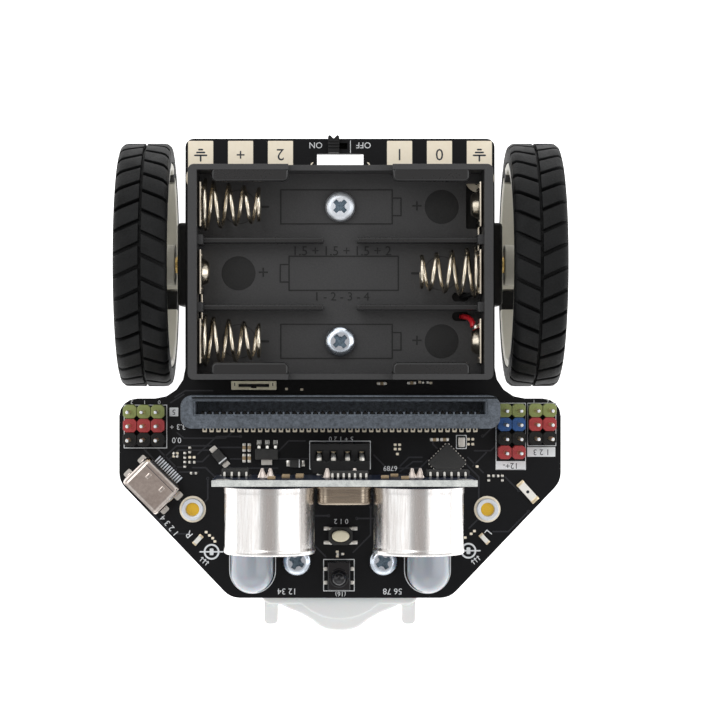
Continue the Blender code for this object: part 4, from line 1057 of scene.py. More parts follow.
class ROBOT_OT_cell_contacts(bpy.types.Operator):
    """Cell springs, stamped contacts and the two battery leads"""

    bl_idname = "robot.cell_contacts"
    bl_label = "Springs, contacts and leads"

    def execute(self, context):
        rear, middle, front = CELL_ROWS
        wire_r = context.scene.robot_sizes.spring_wire / MM / 2
        for name, y, toward in (("rear", rear, 1), ("middle", middle, -1), ("front", front, 1)):
            node = f"{name}_cell_spring"
            low, high = corners(node)
            base = low.x + wire_r if toward > 0 else high.x - wire_r
            path = spring_path(base, y, toward)
            piece(f"{node}_coil", [tube(path, wire_r, 12)], finish("bright_spring_nickel"), replaces=[node])
        top, link = CELL_Z + 3.8, ON_TOP + 4.8
        contact("rear_negative_contact", -1, [(rear - 4, rear + 4, top)], [])
        areas = [(front - 4, front + 4, top), (middle - 4, middle + 4, top), (front, middle, link)]
        contact("front_link_contact", -1, areas, [middle])
        areas = [(middle - 4, middle + 4, top), (rear - 4, rear + 4, top), (middle, rear, link)]
        contact("rear_link_contact", 1, areas, [rear])
        contact("front_positive_contact", 1, [(front - 4, front + 4, top)], [front])
        red = spline([(24.0, 10.4, 34.6), (23.9, 11.2, 34.2), (23.4, 12.0, 33.2), (22.6, 12.3, 31.8),
                      (22.2, 12.35, 29.9)])
        piece("battery_lead_red", [tube(red, 0.5, 14)], finish("red_insulation"),
              replaces=["battery_wire_red"])
        black = spline([(24.2, 16.6, 33.0), (23.7, 16.3, 32.6), (22.9, 16.0, 31.6), (22.3, 15.9, 29.9)])
        piece("battery_lead_black", [tube(black, 0.45, 14)], finish("moulded_black_plastic"),
              replaces=["battery_wire_black"])
        joints = [stretch(ball(centre, radius, 16), (0.7, 1.1, 1.2), centre)
                  for centre, radius in (((24.45, 10.3, 34.7), 0.75), ((24.55, 16.7, 33.1), 0.7))]
        piece("lead_solder_joints", joints, finish("solder_tin"))
        return {"FINISHED"}


# Screws and nuts ----------------------------------------------------------------------------------


def cross_arms(x, y, low, high, half, turned):
    return [turn(post(x, y, 1.4, half, low, high, 0.1), turned + angle, "Z", (x, y, 0))
            for angle in (0, 90)]


def pan_screw(name, node, place, radius, height, shank, low, turned, plating):
    """A pan head screw with a threaded shank, and a dark sheet of painted shade on the floor of its cross
    recess.
    """
    x, y, seat = place
    profile = [(0, height), (radius * 0.55, height), (radius * 0.78, height * 0.93),
               (radius * 0.92, height * 0.76), (radius * 0.985, height * 0.5), (radius, height * 0.3),
               (radius, 0.08), (radius * 0.97, 0), (shank, 0)]
    pitch = 0.7
    level = -0.4
    while level - pitch > low - seat + 0.8:
        profile += [(shank * 0.82, level - pitch * 0.25), (shank, level - pitch * 0.6),
                    (shank, level - pitch * 0.7)]
        level -= pitch
    profile += [(shank * 0.75, low - seat + 0.3), (shank * 0.2, low - seat), (0, low - seat)]
    head = spun(profile, (x, y, seat), (0, 0, 1), 40)
    deep, high = seat + height * 0.55, seat + height + 1
    tools = cross_arms(x, y, deep, high, 0.42, turned) + [rod((x, y, deep), (x, y, high), 0.62, 1.25, 8)]
    piece(f"{name}_screw", [combined(head, tools)], plating, replaces=[node], sharp=30)
    # A dark sheet at the floor of the cross recess: painted shade.
    recess = cross_arms(x, y, deep - 0.05, deep + 0.09, 0.4,
                        turned) + [rod((x, y, deep - 0.1), (x, y, deep + 0.15), 0.55)]
    piece(f"{name}_screw_recess", recess, finish("recess_steel"))


class ROBOT_OT_fasteners(bpy.types.Operator):
    """Pan head screws, and the nuts pressed into the board"""

    bl_idname = "robot.fasteners"
    bl_label = "Screws and nuts"

    def execute(self, context):
        for name, y, turned in (("rear", CELL_ROWS[0], 45), ("front", CELL_ROWS[2], 40)):
            plating = finish("white_zinc_plate" if name == "rear" else "zinc_plate")
            pan_screw(f"{name}_pan", f"{name}_box_screw", (0, y, ON_TOP + 1.9), 2.75, 1.8, 1.35, 25.0,
                      turned, plating)
        for name, side in SIDES:
            place = (side * SCREW_X, SCREW_Y, ON_TOP)
            pan_screw(f"{name}_front", f"{name}_caster_screw", place, 2.65, 1.7, 1.1, 19.0, 30 * side,
                      finish("zinc_plate"))
            x, y = side * NUT_X, NUT_Y
            profile = [(1.25, 0.85), (1.3, 0.98), (1.42, 1.0), (1.9, 1.0), (2.0, 0.9), (2.0, 0.0),
                       (1.4, 0.0), (1.4, BOARD_LOW - ON_TOP), (0, BOARD_LOW - ON_TOP), (0, 0.3),
                       (1.22, 0.3)]
            nut = spun(profile + [profile[0]], (x, y, ON_TOP), (0, 0, 1), 48)
            piece(f"{name}_press_nut", [nut], finish("white_zinc_plate"), replaces=[f"{name}_board_nut"],
                  sharp=30)
            film = spun([(0, 0.36), (1.18, 0.36), (1.2, 0.3), (0, 0.3)], (x, y, ON_TOP), (0, 0, 1), 40)
            piece(f"{name}_nut_film", [film], finish("amber_film"))
        return {"FINISHED"}


# Connectors ---------------------------------------------------------------------------------------


class ROBOT_OT_edge_connector(bpy.types.Operator):
    """Upright edge connector with its comb of contacts and its soldered feet"""

    bl_idname = "robot.edge_connector"
    bl_label = "Edge connector"

    def execute(self, context):
        sizes = context.scene.robot_sizes
        (x0, y0, z0), (x1, y1, z1) = cad("edge_connector")
        slot_y = (-5.31, -3.02)
        body = prism(pill((x0, y0), (x1, y1), 2.0, 8), z0, z1)
        mouth = prism(pill((-26.35, slot_y[0] - 0.35), (26.35, slot_y[1] + 0.35), 0.4, 3), z1 - 0.4, z1 + 2)
        tools = [block((-26.0, slot_y[0], 31.2), (26.0, slot_y[1], z1 + 2)), mouth]
        body = rounded(combined(body, tools), 0.28, 3, 40)
        ribs = [block((-0.6, y0 + 0.001, z0 + 0.4), (0.6, y0 + 0.5, z1 - 0.5), 0.12)]
        keys = [block((side * 26.4 - 0.5, slot_y[0] - 0.1, 31.2),
                      (side * 26.4 + 0.5, slot_y[1] + 0.1, z1 - 1.2), 0.1)
                for side in SIGNS]
        piece("edge_connector_body", [body, *ribs, *keys], finish("slate_plastic"),
              replaces=["edge_connector"])
        # A thin dark plate on the top strip behind the slot: painted shade.
        shadow = prism(pill((x0 + 2.0, slot_y[1] + 0.45), (x1 - 0.5, y1 - 0.25), 0.3, 3), z1 - 0.1,
                       z1 + 0.012)
        piece("edge_connector_rear_land", [shadow], finish("shaded_slate_plastic"))
        count, pitch = sizes.contacts, sizes.contact_pitch / MM
        places = [((i - (count - 1) / 2) * pitch, 0, 0) for i in range(count)]
        wall = slot_y[0] - 0.1
        bent = [(0, wall, 31.3), (0, wall + 0.15, 34.0), (0, wall + 0.62, 37.0), (0, wall + 0.3, 38.9)]
        spring = stretch(tube(spline(bent, 3), 0.3, 6), (1.0, 0.7, 1.0), (0, wall, 0))
        piece("edge_contacts", [repeated(spring, places)], finish("shaded_contact"))
        gaps = [(x + pitch / 2, 0, 0) for x, _, _ in places[:-1]]
        low, high = (-0.16, slot_y[0] - 0.3, z1 - 1.6), (0.16, slot_y[0] + 0.42, z1 - 0.42)
        piece("edge_contact_comb", [repeated(block(low, high, 0.06, 1), gaps)], finish("slate_plastic"))
        foot = block((-0.17, y0 - 0.62, BOARD_TOP + 0.06), (0.17, y0 + 0.4, BOARD_TOP + 0.30), 0.06)
        piece("edge_connector_feet", [repeated(foot, places)], finish("shaded_contact"))
        fillet = [patch((-0.40, y0 - 0.95), (0.40, y0 - 0.6), 0.16, 0.16),
                  patch((-0.40, y0 - 0.8), (-0.2, y0 + 0.1), 0.08, 0.14),
                  patch((0.2, y0 - 0.8), (0.40, y0 + 0.1), 0.08, 0.14)]
        piece("edge_connector_pads", [repeated(joined(fillet), places)], finish("gold_plate"))
        return {"FINISHED"}


def square_pin(x, y, low, high):
    return post(x, y, PIN / 2, PIN / 2, low, high, 0.2, 1)


def header_bead(x, y, low, high):
    """One eight-sided cell of a header strip."""
    half, notch = PITCH / 2 - 0.03, 0.52
    outline = []
    for sx, sy in ((1, -1), (1, 1), (-1, 1), (-1, -1)):
        first, second = (half, half - notch), (half - notch, half)
        if sx * sy < 0:
            first, second = second, first
        outline += [(x + sx * first[0], y + sy * first[1]), (x + sx * second[0], y + sy * second[1])]
    bead = prism(outline, low, high)
    return rounded(bead, 0.12, 2, 30)


class ROBOT_OT_port_headers(bpy.types.Operator):
    """Pin headers of the three ports, one coloured strip to a row"""

    bl_idname = "robot.port_headers"
    bl_label = "Port headers"

    def execute(self, context):
        finishes = {
            "green": finish("signal_strip_plastic"),
            "red": finish("power_strip_plastic"),
            "blue": finish("data_strip_plastic"),
            "black": finish("moulded_black_plastic"),
        }
        ports = (
            ("right_port_header", -38.29, 3, -5.0, ("green", "red", "black")),
            ("bus_port_header", 30.0, 2, -4.78, ("green", "blue", "black", "red")),
            ("servo_port_header", 35.6, 2, -4.75, ("green", "red", "black")),
        )
        for node, first_x, columns, first_y, strips in ports:
            (_, _, z0), (_, _, z1) = cad(node)
            pins = []
            for row, tone in enumerate(strips):
                y = first_y - row * PITCH
                beads = [header_bead(first_x + column * PITCH, y, z0, z0 + 2.5)
                         for column in range(columns)]
                piece(f"{node}_{tone}_row", beads, finishes[tone], replaces=[node])
                pins += [square_pin(first_x + column * PITCH, y, z0 + 0.5, z1) for column in range(columns)]
            piece(f"{node}_pins", pins, finish("contact_gold"), replaces=[node])
            # Whitish caps on the pin tips: painted highlight.
            tip_highlights = [block((first_x + column * PITCH - 0.24, first_y - row * PITCH - 0.24, z1 - 0.1),
                          (first_x + column * PITCH + 0.24, first_y - row * PITCH + 0.24, z1 + 0.015), 0.05,
                          1)
                    for column in range(columns) for row in range(len(strips))]
            piece(f"{node}_pin_tips", tip_highlights, finish("white_zinc_plate"))
        return {"FINISHED"}


class ROBOT_OT_usb_socket(bpy.types.Operator):
    """Stamped USB socket with its tongue, legs and rear contacts"""

    bl_idname = "robot.usb_socket"
    bl_label = "USB socket"

    def execute(self, context):
        at, z0 = (-34.3, -18.55), ON_TOP
        wide, deep, tall = 8.8, 7.2, 3.2
        wall = 0.28

        def placed(shape):
            return set_down(shape, -45, *at, z0)

        outer = rounded(block((-wide / 2, -deep / 2, 0), (wide / 2, deep / 2, tall)), 1.15, 5, 60)
        inner = rounded(block((-wide / 2 + wall, -deep / 2 - 2, wall),
                              (wide / 2 - wall, deep / 2 - wall, tall - wall)),
                        0.9, 5, 60)
        shell = combined(outer, [inner])
        tongues = [block((x - 0.34, 0.4, tall - 0.12), (x + 0.34, 1.5, tall + 0.07), 0.09, 2)
                   for x in (-1.7, 1.7)]
        # A dark strip across the shell's top along its fold: painted shade in the crease.
        seam = block((-wide / 2 + 0.8, 2.05, tall - 0.03), (wide / 2 - 0.8, 2.16, tall + 0.012), 0.004)
        legs = []
        for x in (-wide / 2, wide / 2):
            for y in (-1.6, 2.0):
                legs.append(post(x, y, 0.18, 0.5, -1.2, 1.4, 0.1))
        piece("usb_shell_stamping",
              [placed(shell), *[placed(t) for t in tongues], *[placed(leg) for leg in legs]],
              finish("stamped_steel"), replaces=["usb_shell"], sharp=30)
        piece("usb_fold_line", [placed(seam)], finish("dark_ink"))
        middle = tall / 2
        tongue = block((-3.3, -2.6, middle - 0.35), (3.3, deep / 2 - wall - 0.2, middle + 0.35), 0.16, 2)
        piece("usb_tongue_moulding", [placed(tongue)], finish("moulded_black_plastic"),
              replaces=["usb_tongue"])
        strips = repeated(block((-0.12, -2.3, middle + 0.3), (0.12, 1.6, middle + 0.39), 0.02, 1),
                          [((i - 5.5) * 0.5, 0, 0) for i in range(12)])
        rear = repeated(block((-0.15, deep / 2 - 0.3, -0.26), (0.15, deep / 2 + 1.3, 0.1), 0.05, 1),
                        [((i - 5.5) * 0.5, 0, 0) for i in range(12)])
        piece("usb_contacts", [placed(strips)], finish("contact_gold"))
        piece("usb_rear_pins", [placed(rear)], finish("white_zinc_plate"))
        pads = [patch((x - 0.75, y - 0.8), (x + 0.75, y + 0.8), 0.3, 0.04, -0.3)
                for x in (-wide / 2 - 0.1, wide / 2 + 0.1) for y in (-1.6, 2.0)]
        piece("usb_leg_pads", [placed(pad) for pad in pads], finish("solder_tin"))
        return {"FINISHED"}


class ROBOT_OT_sockets(bpy.types.Operator):
    """Sensor socket, battery socket and the sensor's plug-in header"""

    bl_idname = "robot.sockets"
    bl_label = "Sockets"

    def execute(self, context):
        (x0, y0, z0), (x1, y1, z1) = cad("sensor_socket")
        body = block((x0, y0, z0), (x1, y1, z1))
        wells = []
        for i in range(4):
            x = (i - 1.5) * PITCH
            wells.append(block((x - 0.6, -13.25, z0 + 1.2), (x + 0.6, -12.05, z1 + 1)))
            wells.append(block((x - 0.85, -13.5, z1 - 0.3), (x + 0.85, -11.8, z1 + 1)))
        for i in range(3):
            x = (i - 1) * PITCH
            for y in (y0, y1):
                wells.append(post(x, y, 0.12, 0.12, z0 - 1, z1 + 1))
        body = rounded(combined(body, wells), 0.12, 2, 40)
        piece("sensor_socket_body", [body], finish("moulded_black_plastic"), replaces=["sensor_socket"])
        clips = [block(((i - 1.5) * PITCH - 0.4, y - 0.08, z0 + 1.3),
                       ((i - 1.5) * PITCH + 0.4, y + 0.08, z1 - 0.8), 0.04)
                 for i in range(4) for y in (-13.15, -12.15)]
        piece("sensor_socket_clips", clips, finish("contact_gold"))
        (x0, y0, z0), (x1, y1, z1) = cad("battery_socket")
        body = block((x0, y0, z0), (x1, y1, z1))
        cuts = [block((x0 + 1.3, y0 + 0.55, z0 + 0.9), (x1 - 1.3, y1 - 0.55, z1 + 2))]
        body = rounded(combined(body, cuts), 0.13, 2, 40)
        piece("battery_socket_body", [body], finish("moulded_cream_plastic"), replaces=["battery_socket"])
        pins = [square_pin(x, (y0 + y1) / 2, z0 + 0.4, z1 - 0.6) for x in (-17.0, -14.4)]
        piece("battery_socket_metal", pins, finish("solder_tin"))
        middle = (x0 + x1) / 2
        # Black blocks inside the socket's hollow and flush strips on its wall tops: painted shade.
        socket_shade_blocks = [block((x0 + 1.35, y0 + 0.6, z0 + 0.8), (x1 - 1.35, y1 - 0.6, z1 - 0.5), 0.05),
                  block((middle - 0.5, y0 + 0.32, z1 - 0.4), (middle + 0.5, y0 + 0.6, z1 + 0.01), 0.05),
                  block((x0 + 0.55, y0 + 0.7, z1 - 0.4), (x0 + 0.75, y1 - 0.3, z1 + 0.01), 0.05),
                  block((x1 - 0.75, y0 + 0.7, z1 - 0.4), (x1 - 0.55, y1 - 0.3, z1 + 0.01), 0.05)]
        piece("battery_socket_lining", socket_shade_blocks, finish("moulded_black_plastic"))
        (x0, y0, _), (x1, _, _) = cad("sensor_pin_header")
        block_low, block_high = (x0, -15.8, 41.0), (x1, -13.5, 43.4)
        notches = [block(((i - 1) * PITCH - 0.2, y - 0.2, 40), ((i - 1) * PITCH + 0.2, y + 0.2, 45))
                   for i in range(3) for y in (-15.8, -13.5)]
        body = rounded(combined(block(block_low, block_high), notches), 0.1, 2, 40)
        piece("sensor_header_body", [body], finish("moulded_black_plastic"), body="distance_sensor",
              replaces=["sensor_pin_header"])
        pins = []
        for i in range(4):
            x = (i - 1.5) * PITCH
            path = [(x, -17.0, 42.22), (x, -13.35, 42.22), (x, -12.9, 42.1), (x, -12.68, 41.75),
                    (x, SOCKET_PINS_Y, 41.3), (x, SOCKET_PINS_Y, 32.3), (x, SOCKET_PINS_Y, 32.0)]
            pins.append(tube(path, [0.42] * 6 + [0.22], 4))
        piece("sensor_header_pins", pins, finish("solder_tin"), body="distance_sensor",
              replaces=["sensor_pin_header"], sharp=30)
        return {"FINISHED"}


# Parts soldered to the board ----------------------------------------------------------------------


def chip_part(x, y, angle, length=1.0, width=0.5, height=0.42):
    """Body and end caps of a two-ended chip part, each as a list of shapes."""
    base = BOARD_TOP + 0.04
    body = block((-length * 0.28, -width / 2, base), (length * 0.28, width / 2, base + height), 0.05)
    caps = []
    for side in SIGNS:
        low, high = sorted((side * length * 0.26, side * length / 2))
        caps.append(block((low, -width / 2 - 0.01, base), (high, width / 2 + 0.01, base + height + 0.01),
                          0.07))
        low, high = sorted((side * length * 0.4, side * length * 0.66))
        caps.append(block((low, -width / 2, base - 0.02), (high, width / 2, base + height * 0.35), 0.08))
    return set_down(body, angle, x, y), [set_down(cap, angle, x, y) for cap in caps]


CREAM_PARTS = ((-17.55, -11.6, 90), (-16.6, -11.6, 90), (-17.55, -13.55, 90), (-16.6, -13.55, 90),
               (17.25, -10.15, 0), (19.1, -10.15, 0), (13.1, 0.2, 0), (7.65, 0.1, 0))
DARK_PARTS = ((-28.4, -13.05, 90), (-27.5, -12.05, 90), (-27.1, -14.3, 0), (-28.4, -14.7, 90),
              (-30.1, -12.95, -40), (-26.8, -16.3, 0), (27.2, -17.2, 90), (28.5, -16.8, 0),
              (29.7, -17.2, 90), (0.0, -31.1, 0), (15.6, 0.28, 0))


def diode(x, y, angle, length, width):
    base = BOARD_TOP + 0.1
    body = block((-length * 0.32, -width / 2, base), (length * 0.32, width / 2, base + 0.95), 0.16)
    band = block((length * 0.16, -width / 2 - 0.01, base + 0.2),
                 (length * 0.24, width / 2 + 0.01, base + 0.97), 0.1)
    ends = [block((s * length * 0.4 - length * 0.11, -width * 0.38, base - 0.05),
                  (s * length * 0.4 + length * 0.11, width * 0.38, base + 0.28), 0.08) for s in SIGNS]

    def placed(shape):
        return set_down(shape, angle, x, y)

    return placed(body), placed(band), [placed(end) for end in ends]


class ROBOT_OT_board_chips(bpy.types.Operator):
    """Chips, diodes, crystal and the small parts round them"""

    bl_idname = "robot.board_chips"
    bl_label = "Chips and small parts"

    def execute(self, context):
        bodies, darks, metal = [], [], []
        for x, y, angle in CREAM_PARTS:
            body, caps = chip_part(x, y, angle, 1.2, 0.6)
            bodies.append(body)
            metal += caps
        for x, y, angle in DARK_PARTS:
            body, caps = chip_part(x, y, angle, 0.95, 0.48, 0.34)
            darks.append(body)
            metal += caps
        piece("ceramic_chip_parts", bodies, finish("chip_ceramic"))
        (x0, y0, z0), (x1, y1, z1) = cad("voltage_regulator")
        piece("voltage_regulator_body", [block((x0, y0, z0), (x1, y1, z1), 0.22, 2)],
              finish("chip_moulding"), replaces=["voltage_regulator"])
        for x in (-14.8, -13.3, -11.8):
            path = [(x, y1 - 0.3, z0 + 0.6), (x, y1 + 0.35, z0 + 0.6), (x, y1 + 0.6, z0 + 0.1),
                    (x, y1 + 1.35, z0 - 0.1)]
            metal.append(tube(path, 0.34, 8))
            metal.append(block((x - 0.4, y1 + 0.55, BOARD_TOP), (x + 0.4, y1 + 1.5, BOARD_TOP + 0.14),
                               0.05))
        metal.append(block((-14.4, y0 - 1.0, BOARD_TOP + 0.05), (-12.4, y0 + 0.2, BOARD_TOP + 0.5), 0.12))
        marks = []
        for x, y, angle, length, width in ((-22.0, -13.3, -50, 4.4, 1.75), (-8.1, -14.5, 0, 3.3, 1.45)):
            body, band, ends = diode(x, y, angle, length, width)
            darks.append(body)
            metal += ends
            marks.append(band)
        piece("chip_marks", marks, finish("silk_ink"))
        body = turn(block((17.1, -16.8, ON_TOP - 0.25), (22.1, -11.8, 30.3), 0.14), 45, "Z", CONTROLLER)
        dimple = turn(rod((18.0, -12.65, 30.24), (18.0, -12.65, 31), 0.32, 0.5, 20), 45, "Z", CONTROLLER)
        piece("controller_chip_body", [combined(body, [dimple])], finish("chip_moulding"),
              replaces=["controller_chip"])
        for quarter in range(4):
            for i in range(8):
                shape = block((17.35 + i * 0.6, -12.0, BOARD_TOP + 0.02),
                              (17.65 + i * 0.6, -11.6, BOARD_TOP + 0.12), 0.04, 1)
                metal.append(turn(shape, 45 + 90 * quarter, "Z", CONTROLLER))
        piece("dark_chip_parts", darks, finish("chip_moulding"))
        metal.append(block((21.6, -11.5, BOARD_TOP + 0.1), (22.8, -9.7, BOARD_TOP + 0.75), 0.16))
        piece("soldered_metal", metal, finish("solder_tin"))
        slanted = block((-2.2, -0.75, BOARD_TOP + 0.05), (2.2, 0.75, BOARD_TOP + 0.85), 0.14)
        hole = rod((0, 0, BOARD_TOP + 0.6), (0, 0, BOARD_TOP + 2), 0.3, sides=20)
        lamps = [set_down(combined(slanted, [hole]), *WINDOW_LAMP)]
        for angle, x, y in SMALL_LAMPS:
            lamp = block((-0.8, -0.42, BOARD_TOP + 0.05), (0.8, 0.42, BOARD_TOP + 0.6), 0.1)
            lamps.append(set_down(lamp, angle, x, y))
        dot = rod((0, 0, BOARD_TOP + 0.5), (0, 0, BOARD_TOP + 0.62), 0.29, sides=20)
        piece("indicator_window", [set_down(dot, *WINDOW_LAMP)], finish("dark_ink"))
        piece("indicator_lamps", lamps, finish("indicator_body"))
        ends = []
        for low, high in ((1.65, 2.3), (-2.3, -1.75)):
            cap = block((low, -0.8, BOARD_TOP + 0.02), (high, 0.8, BOARD_TOP + 0.9), 0.1)
            ends.append(set_down(cap, *WINDOW_LAMP))
        for angle, x, y in SMALL_LAMPS:
            for side in SIGNS:
                cap = block((side * 0.85 - 0.28, -0.45, BOARD_TOP + 0.02),
                            (side * 0.85 + 0.28, 0.45, BOARD_TOP + 0.35), 0.08)
                ends.append(set_down(cap, angle, x, y))
        piece("indicator_lamp_ends", ends, finish("contact_gold"))
        return {"FINISHED"}


class ROBOT_OT_lamps_and_eyes(bpy.types.Operator):
    """Headlamps, infrared receiver and the line sensors under the board"""

    bl_idname = "robot.lamps_and_eyes"
    bl_label = "Lamps and receivers"

    def execute(self, context):
        for name, side in SIDES:
            length, radius = 10.85, 3.9
            dome = [(radius * math.cos(math.radians(a)),
                     length - radius + radius * math.sin(math.radians(a)))
                    for a in range(90, 0, -6)]
            dome[0] = (0, length)
            profile = dome + [(3.88, length - radius - 0.3), (3.82, 1.35), (3.93, 1.2), (3.95, 1.1),
                              (3.95, 0.15), (3.85, 0.0), (0, 0)]
            lens = spun(profile, (side * LAMP_X, -27, 33.4), (0, -1, 0), 64)
            piece(f"{name}_lamp_lens", [lens], finish("milky_lens_resin"), replaces=[f"{name}_lamp"])
            leads = []
            for x in (side * LAMP_X - 1.27, side * LAMP_X + 1.27):
                path = spline([(x, -27.3, 33.4), (x, -26.5, 33.4), (x, -26.25, 32.9), (x, -26.2, 31.5),
                               (x, -26.2, 28.9)], 4)
                leads.append(tube(path, 0.26, 8))
            piece(f"{name}_lamp_leads", leads, finish("solder_tin"))
            x = side * LINE_SENSOR_X
            (x0, y0, z0), (x1, y1, z1) = cad(f"{name}_line_sensor")
            wells = [rod((x + dx, (y0 + y1) / 2, z0 - 1), (x + dx, (y0 + y1) / 2, z0 + 0.5), 0.95,
                         sides=24) for dx in (-1.3, 1.3)]
            body = rounded(combined(block((x0, y0, z0), (x1, y1, z1)), wells), 0.18, 2, 40)
            piece(f"{name}_line_sensor_body", [body], finish("moulded_black_plastic"),
                  replaces=[f"{name}_line_sensor"])
            eyes = [stretch(ball((x + dx, (y0 + y1) / 2, z0 + 0.75), 0.9, 20), (1, 1, 0.8),
                            (0, 0, z0 + 0.75))
                    for dx in (-1.3, 1.3)]
            piece(f"{name}_line_sensor_eyes", eyes, finish("gloss_black_epoxy"))
        (x0, y0, z0), (x1, y1, _) = cad("ir_receiver")
        body = block((x0, y0, z0), (x1, y1, z0 + 2.0), 0.25, 3)
        dome = ball((-0.2, -35.3, z0 + 1.8), 1.5, 40)
        collar = spun([(0, 0.12), (1.62, 0.12), (1.75, 0.0), (0, 0)], (-0.2, -35.3, z0 + 2.0), (0, 0, 1),
                      40)
        piece("receiver_body", [body, dome, collar], finish("gloss_black_epoxy"), replaces=["ir_receiver"])
        leads = []
        for y in (-33.8, -36.3):
            for x, out in ((x0, -1), (x1, 1)):
                low, high = sorted((x - out * 0.2, x + out * 0.75))
                leads.append(block((low, y - 0.35, BOARD_TOP + 0.05), (high, y + 0.35, BOARD_TOP + 0.35),
                                   0.1))
        piece("receiver_leads", leads, finish("solder_tin"))
        return {"FINISHED"}


class ROBOT_OT_switches(bpy.types.Operator):
    """Calibration key and the sliding power switch"""

    bl_idname = "robot.switches"
    bl_label = "Key and power switch"

    def execute(self, context):
        (x0, y0, z0), (x1, y1, z1) = cad("key_switch_body")
        cut = 0.75
        outline = [(x1, y0 + cut), (x1, y1 - cut), (x1 - cut, y1), (x0 + cut, y1), (x0, y1 - cut),
                   (x0, y0 + cut), (x0 + cut, y0), (x1 - cut, y0)]
        middle = ((x0 + x1) / 2, (y0 + y1) / 2)
        well = stretch(rod((0, 0, z1 - 0.82), (0, 0, z1 + 1), 1.0, sides=48), (1.76, 1.2, 1))
        frame_body = combined(prism(outline, z0, z1), [move(well, (*middle, 0))])
        piece("key_frame", [rounded(frame_body, 0.1, 2, 40)], finish("chip_moulding"),
              replaces=["key_switch_body"])
        metal = []
        for sx in SIGNS:
            for sy in SIGNS:
                cx, cy = middle[0] + sx * 1.75, middle[1] + sy * 1.28
                metal.append(post(cx, cy, 0.36, 0.3, z0, z1 - 0.25, 0.1))
                low, high = sorted((middle[0] + sx * 2.0, middle[0] + sx * 3.1))
                metal.append(block((low, cy - 0.35, BOARD_TOP + 0.04), (high, cy + 0.35, BOARD_TOP + 0.3),
                                   0.1))
        piece("key_switch_metal", metal, finish("solder_tin"))
        (x0, y0, z0), (x1, y1, z1) = cad("key_button")
        profile = [(0, 1.0), (0.5, 0.995), (0.8, 0.97), (0.93, 0.9), (0.985, 0.78), (1.0, 0.6), (1.0, 0.0),
                   (0, 0)]
        cap = spun(profile, (0, 0, 0), (0, 0, 1), 48)
        bmesh.ops.scale(cap, vec=((x1 - x0) / 2, (y1 - y0) / 2, z1 - z0), verts=cap.verts)
        cap = move(cap, ((x0 + x1) / 2, (y0 + y1) / 2, z0))
        piece("key_cap", [cap], finish("key_cap_plastic"), body="calibration_key", replaces=["key_button"])

        (x0, y0, z0), (x1, y1, z1) = cad("power_switch_body")
        can = combined(block((x0, y0, z0), (x1, y1, z1), 0.25, 2),
                       [block((-1.9, 43.0, z0 + 0.4), (1.5, 44.1, z1 + 1))])
        piece("power_switch_can", [can], finish("moulded_black_plastic"), replaces=["power_switch_body"])
        (x0, y0, _), (x1, y1, z1) = cad("switch_knob")
        low = ON_TOP
        middle_x = (x0 + x1) / 2
        outline = [(x0, y0), (x1, y0), (x1, y1 - 0.25), (x1 - 0.2, y1), (middle_x + 0.62, y1),
                   (middle_x, y1 - 0.62), (middle_x - 0.62, y1), (x0 + 0.2, y1), (x0, y1 - 0.25)]
        knob = prism(outline, low, z1)
        grooves = [block((x0 - 1, y0 + 0.7 + i * 0.55, z1 - 0.16), (x1 + 1, y0 + 0.9 + i * 0.55, z1 + 1))
                   for i in range(3)]
        knob = rounded(combined(knob, grooves), 0.09, 2, 35)
        stem = block((-1.6, 43.25, 26.5), (-0.8, 43.85, low + 0.4), 0.08)
        piece("power_switch_knob", [knob, stem], finish("moulded_black_plastic"), body="power_slider",
              replaces=["switch_knob"])
        return {"FINISHED"}


# Distance sensor ----------------------------------------------------------------------------------


def gauze(centre, radius, y):
    """Crossed wires over the mouth of a transducer."""
    shapes = []
    count = 15
    for i in range(count):
        offset = radius * (2 * (i + 0.5) / count - 1)
        reach = math.sqrt(radius * radius - offset * offset)
        x, z = centre
        shapes.append(rod((x - reach, y, z + offset), (x + reach, y, z + offset), 0.13, sides=6))
        shapes.append(rod((x + offset, y - 0.1, z - reach), (x + offset, y - 0.1, z + reach), 0.13,
                          sides=6))
    return shapes


